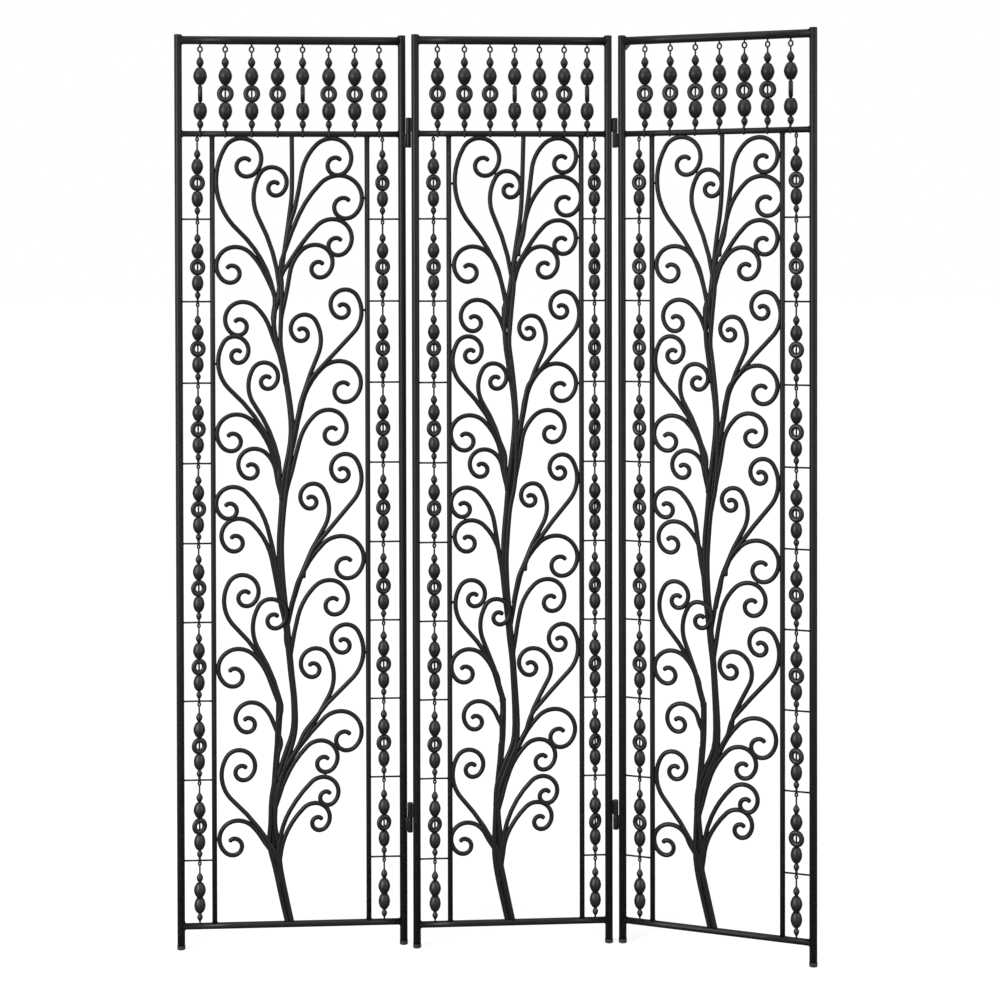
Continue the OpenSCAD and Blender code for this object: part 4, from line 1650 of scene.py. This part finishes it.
@dataclass
class Studio:
    """Plain pale floor, white surroundings, soft lights and the camera.

    The floor's own glow is pale near the screen and grows by up to brighten far from it: by the
    share that the distance in metres, times far_gain plus far_lift, gives between 0 and 1.
    """

    eye: Point = (0.0098, -3.7457, 1.3465)
    pitch: float = 0.679
    roll: float = 0.1108
    lens: float = 70.38
    lift: float = -0.218
    floor_half: float = 60.0
    pale: float = 0.78
    shade: float = 0.3
    far_gain: float = 0.35
    far_lift: float = -0.6
    brighten: float = 0.1
    sky: float = 0.5
    lights: tuple[Softbox, ...] = (
        Softbox("key_softbox", (-2.9, -2.9, 1.9), (0.0, 0.0, 0.95), (1.6, 3.2), 260.0),
        Softbox("fill_softbox", (3.4, -2.2, 1.9), (0.0, 0.0, 0.9), (1.4, 3.0), 80.0),
        Softbox("top_softbox", (0.0, -0.8, 4.2), (0.0, 0.0, 1.0), (3.0, 2.0), 40.0))

    def build(self) -> None:
        """Builds the whole studio."""
        self.floor()
        self.surroundings()
        for light in self.lights:
            light.build()
        self.camera()

    def floor(self) -> None:
        """Lays the floor, white to the camera but for the shadow on it."""
        far = self.floor_half
        mesh = bpy.data.meshes.new("studio_floor")
        mesh.from_pydata([(-far, -far, 0), (far, -far, 0), (far, far, 0), (-far, far, 0)], [],
                         [(0, 1, 2, 3)])
        thing = bpy.data.objects.new("studio_floor", mesh)
        bpy.context.scene.collection.objects.link(thing)
        material, tree = blank(bpy.data.materials.new("studio_floor"))
        plain, thin = (tree.nodes.new("ShaderNodeBsdfDiffuse") for _ in range(2))
        plain.inputs["Color"].default_value = (self.pale, self.pale, self.pale, 1)
        thin.inputs["Color"].default_value = (self.shade, self.shade, self.shade, 1)
        glow = tree.nodes.new("ShaderNodeEmission")
        away = add_node(tree, "ShaderNodeVectorMath", operation="LENGTH")
        tree.links.new(add_node(tree, "ShaderNodeTexCoord").outputs["Object"], away.inputs[0])
        distant = scaled(tree, away.outputs["Value"], self.far_gain, self.far_lift)
        tree.links.new(scaled(tree, distant, self.brighten, self.pale), glow.inputs["Strength"])
        seen = tree.nodes.new("ShaderNodeAddShader")
        tree.links.new(thin.outputs[0], seen.inputs[0])
        tree.links.new(glow.outputs[0], seen.inputs[1])
        show(tree, plain.outputs[0], seen.outputs[0], "ShaderNodeOutputMaterial")
        mesh.materials.append(material)

    def surroundings(self) -> None:
        """Makes the world white to the camera and to gloss, and a soft grey as light."""
        bpy.context.scene.world, tree = blank(bpy.data.worlds.new("studio"))
        white, soft = (tree.nodes.new("ShaderNodeBackground") for _ in range(2))
        for node, strength in ((white, 1.0), (soft, self.sky)):
            node.inputs["Color"].default_value = (1, 1, 1, 1)
            node.inputs["Strength"].default_value = strength
        show(tree, soft.outputs[0], white.outputs[0], "ShaderNodeOutputWorld")

    def camera(self) -> None:
        """Sets the camera at the photograph's place, level but for a small pitch and roll."""
        lens = bpy.data.cameras.new("camera")
        lens.lens = self.lens
        lens.sensor_width = 36.0
        lens.shift_y = self.lift
        lens.clip_end = 200.0
        pitch, roll = math.radians(self.pitch), math.radians(self.roll)
        right = Vector((1, 0, 0))
        up = Vector((0, math.sin(pitch), math.cos(pitch)))
        ahead = Vector((0, math.cos(pitch), -math.sin(pitch)))
        across = right * math.cos(roll) - up * math.sin(roll)
        above = right * math.sin(roll) + up * math.cos(roll)
        turn = Matrix((across, above, -ahead)).transposed().to_4x4()
        thing = bpy.data.objects.new("camera", lens)
        thing.matrix_world = Matrix.Translation(self.eye) @ turn
        bpy.context.scene.collection.objects.link(thing)
        bpy.context.scene.camera = thing


def show(tree: Tree, lit: Socket, seen: Socket, end: str) -> None:
    """Ends a tree: one shader for light, and one for what the camera, gloss and glass see.

    Args:
        tree: the material's or the world's tree.
        lit: the shader for all other rays.
        seen: the shader for camera, glossy and transmission rays.
        end: the output node's type.
    """
    rays = tree.nodes.new("ShaderNodeLightPath").outputs
    direct = sums(tree, "MAXIMUM", rays["Is Camera Ray"], rays["Is Glossy Ray"])
    direct = sums(tree, "MAXIMUM", direct, rays["Is Transmission Ray"])
    mix = tree.nodes.new("ShaderNodeMixShader")
    for source, target in zip((direct, lit, seen), mix.inputs):
        tree.links.new(source, target)
    tree.links.new(mix.outputs[0], tree.nodes.new(end).inputs["Surface"])


# ---------------------------------------------------------------- the whole screen


def leaves() -> list[Leaf]:
    """Gives the three leaves with their sizes.

    Returns:
        The left, middle and right leaf.
    """
    left = Leaf("left_leaf", (-607.652, 28.462), 3.7, 433.0, (65, 365), (36.3, 395),
                [42.5, 91, 142, 192, 240.5, 291, 341.5, 389], {0: 95.0, 4: 92.0},
                WIDE_LEFT, WIDE_RIGHT, WIDE_STEM, WIDE_LIMB, WIDE_LEADER, seed=11)
    middle = Leaf("middle_leaf", (-148.555, 36.405), 4.0, 377.0, (65, 324), (35.2, 350),
                  [43.5, 96, 146, 194, 242.5, 291, 336], {3: 85.0, 6: 83.0},
                  NARROW_LEFT, NARROW_RIGHT, NARROW_STEM, NARROW_LIMB, NARROW_LEADER,
                  (25.0, 34.0), seed=12)
    right = Leaf("right_leaf", (254.527, 62.703), -20.5, 377.0, (61, 318), (35, 344.6),
                 [47, 98, 148, 195.5, 244.5, 289.5, 334], {6: 102.0},
                 RIGHT_LEFT, RIGHT_RIGHT, RIGHT_STEM, NARROW_LIMB, RIGHT_LEADER,
                 (-14.0, -10.0), nudge=-5.0, seed=13)
    return [left, middle, right]


def hinges() -> list[Hinge]:
    """Gives the two pairs of hinges."""
    return [Hinge("left_hinge", (-162.055, 46.405), (-148.555, 36.405), (-175.555, 56.405),
                  "middle_leaf", "left_leaf"),
            Hinge("right_hinge", (241.027, 62.703), (227.527, 62.703), (254.527, 62.703),
                  "middle_leaf", "right_leaf")]


def main() -> None:
    """Builds the screen and its studio."""
    logging.basicConfig(level=logging.INFO, format="%(name)s: %(message)s")
    bpy.context.scene.view_settings.view_transform = "Standard"
    finishes = Finishes()
    for leaf in leaves():
        leaf.build(finishes)
    for hinge in hinges():
        hinge.build(finishes)
    paint("right_leaf_corner_gusset", finishes.frame)
    Studio().build()


if __name__ == "__main__":
    main()
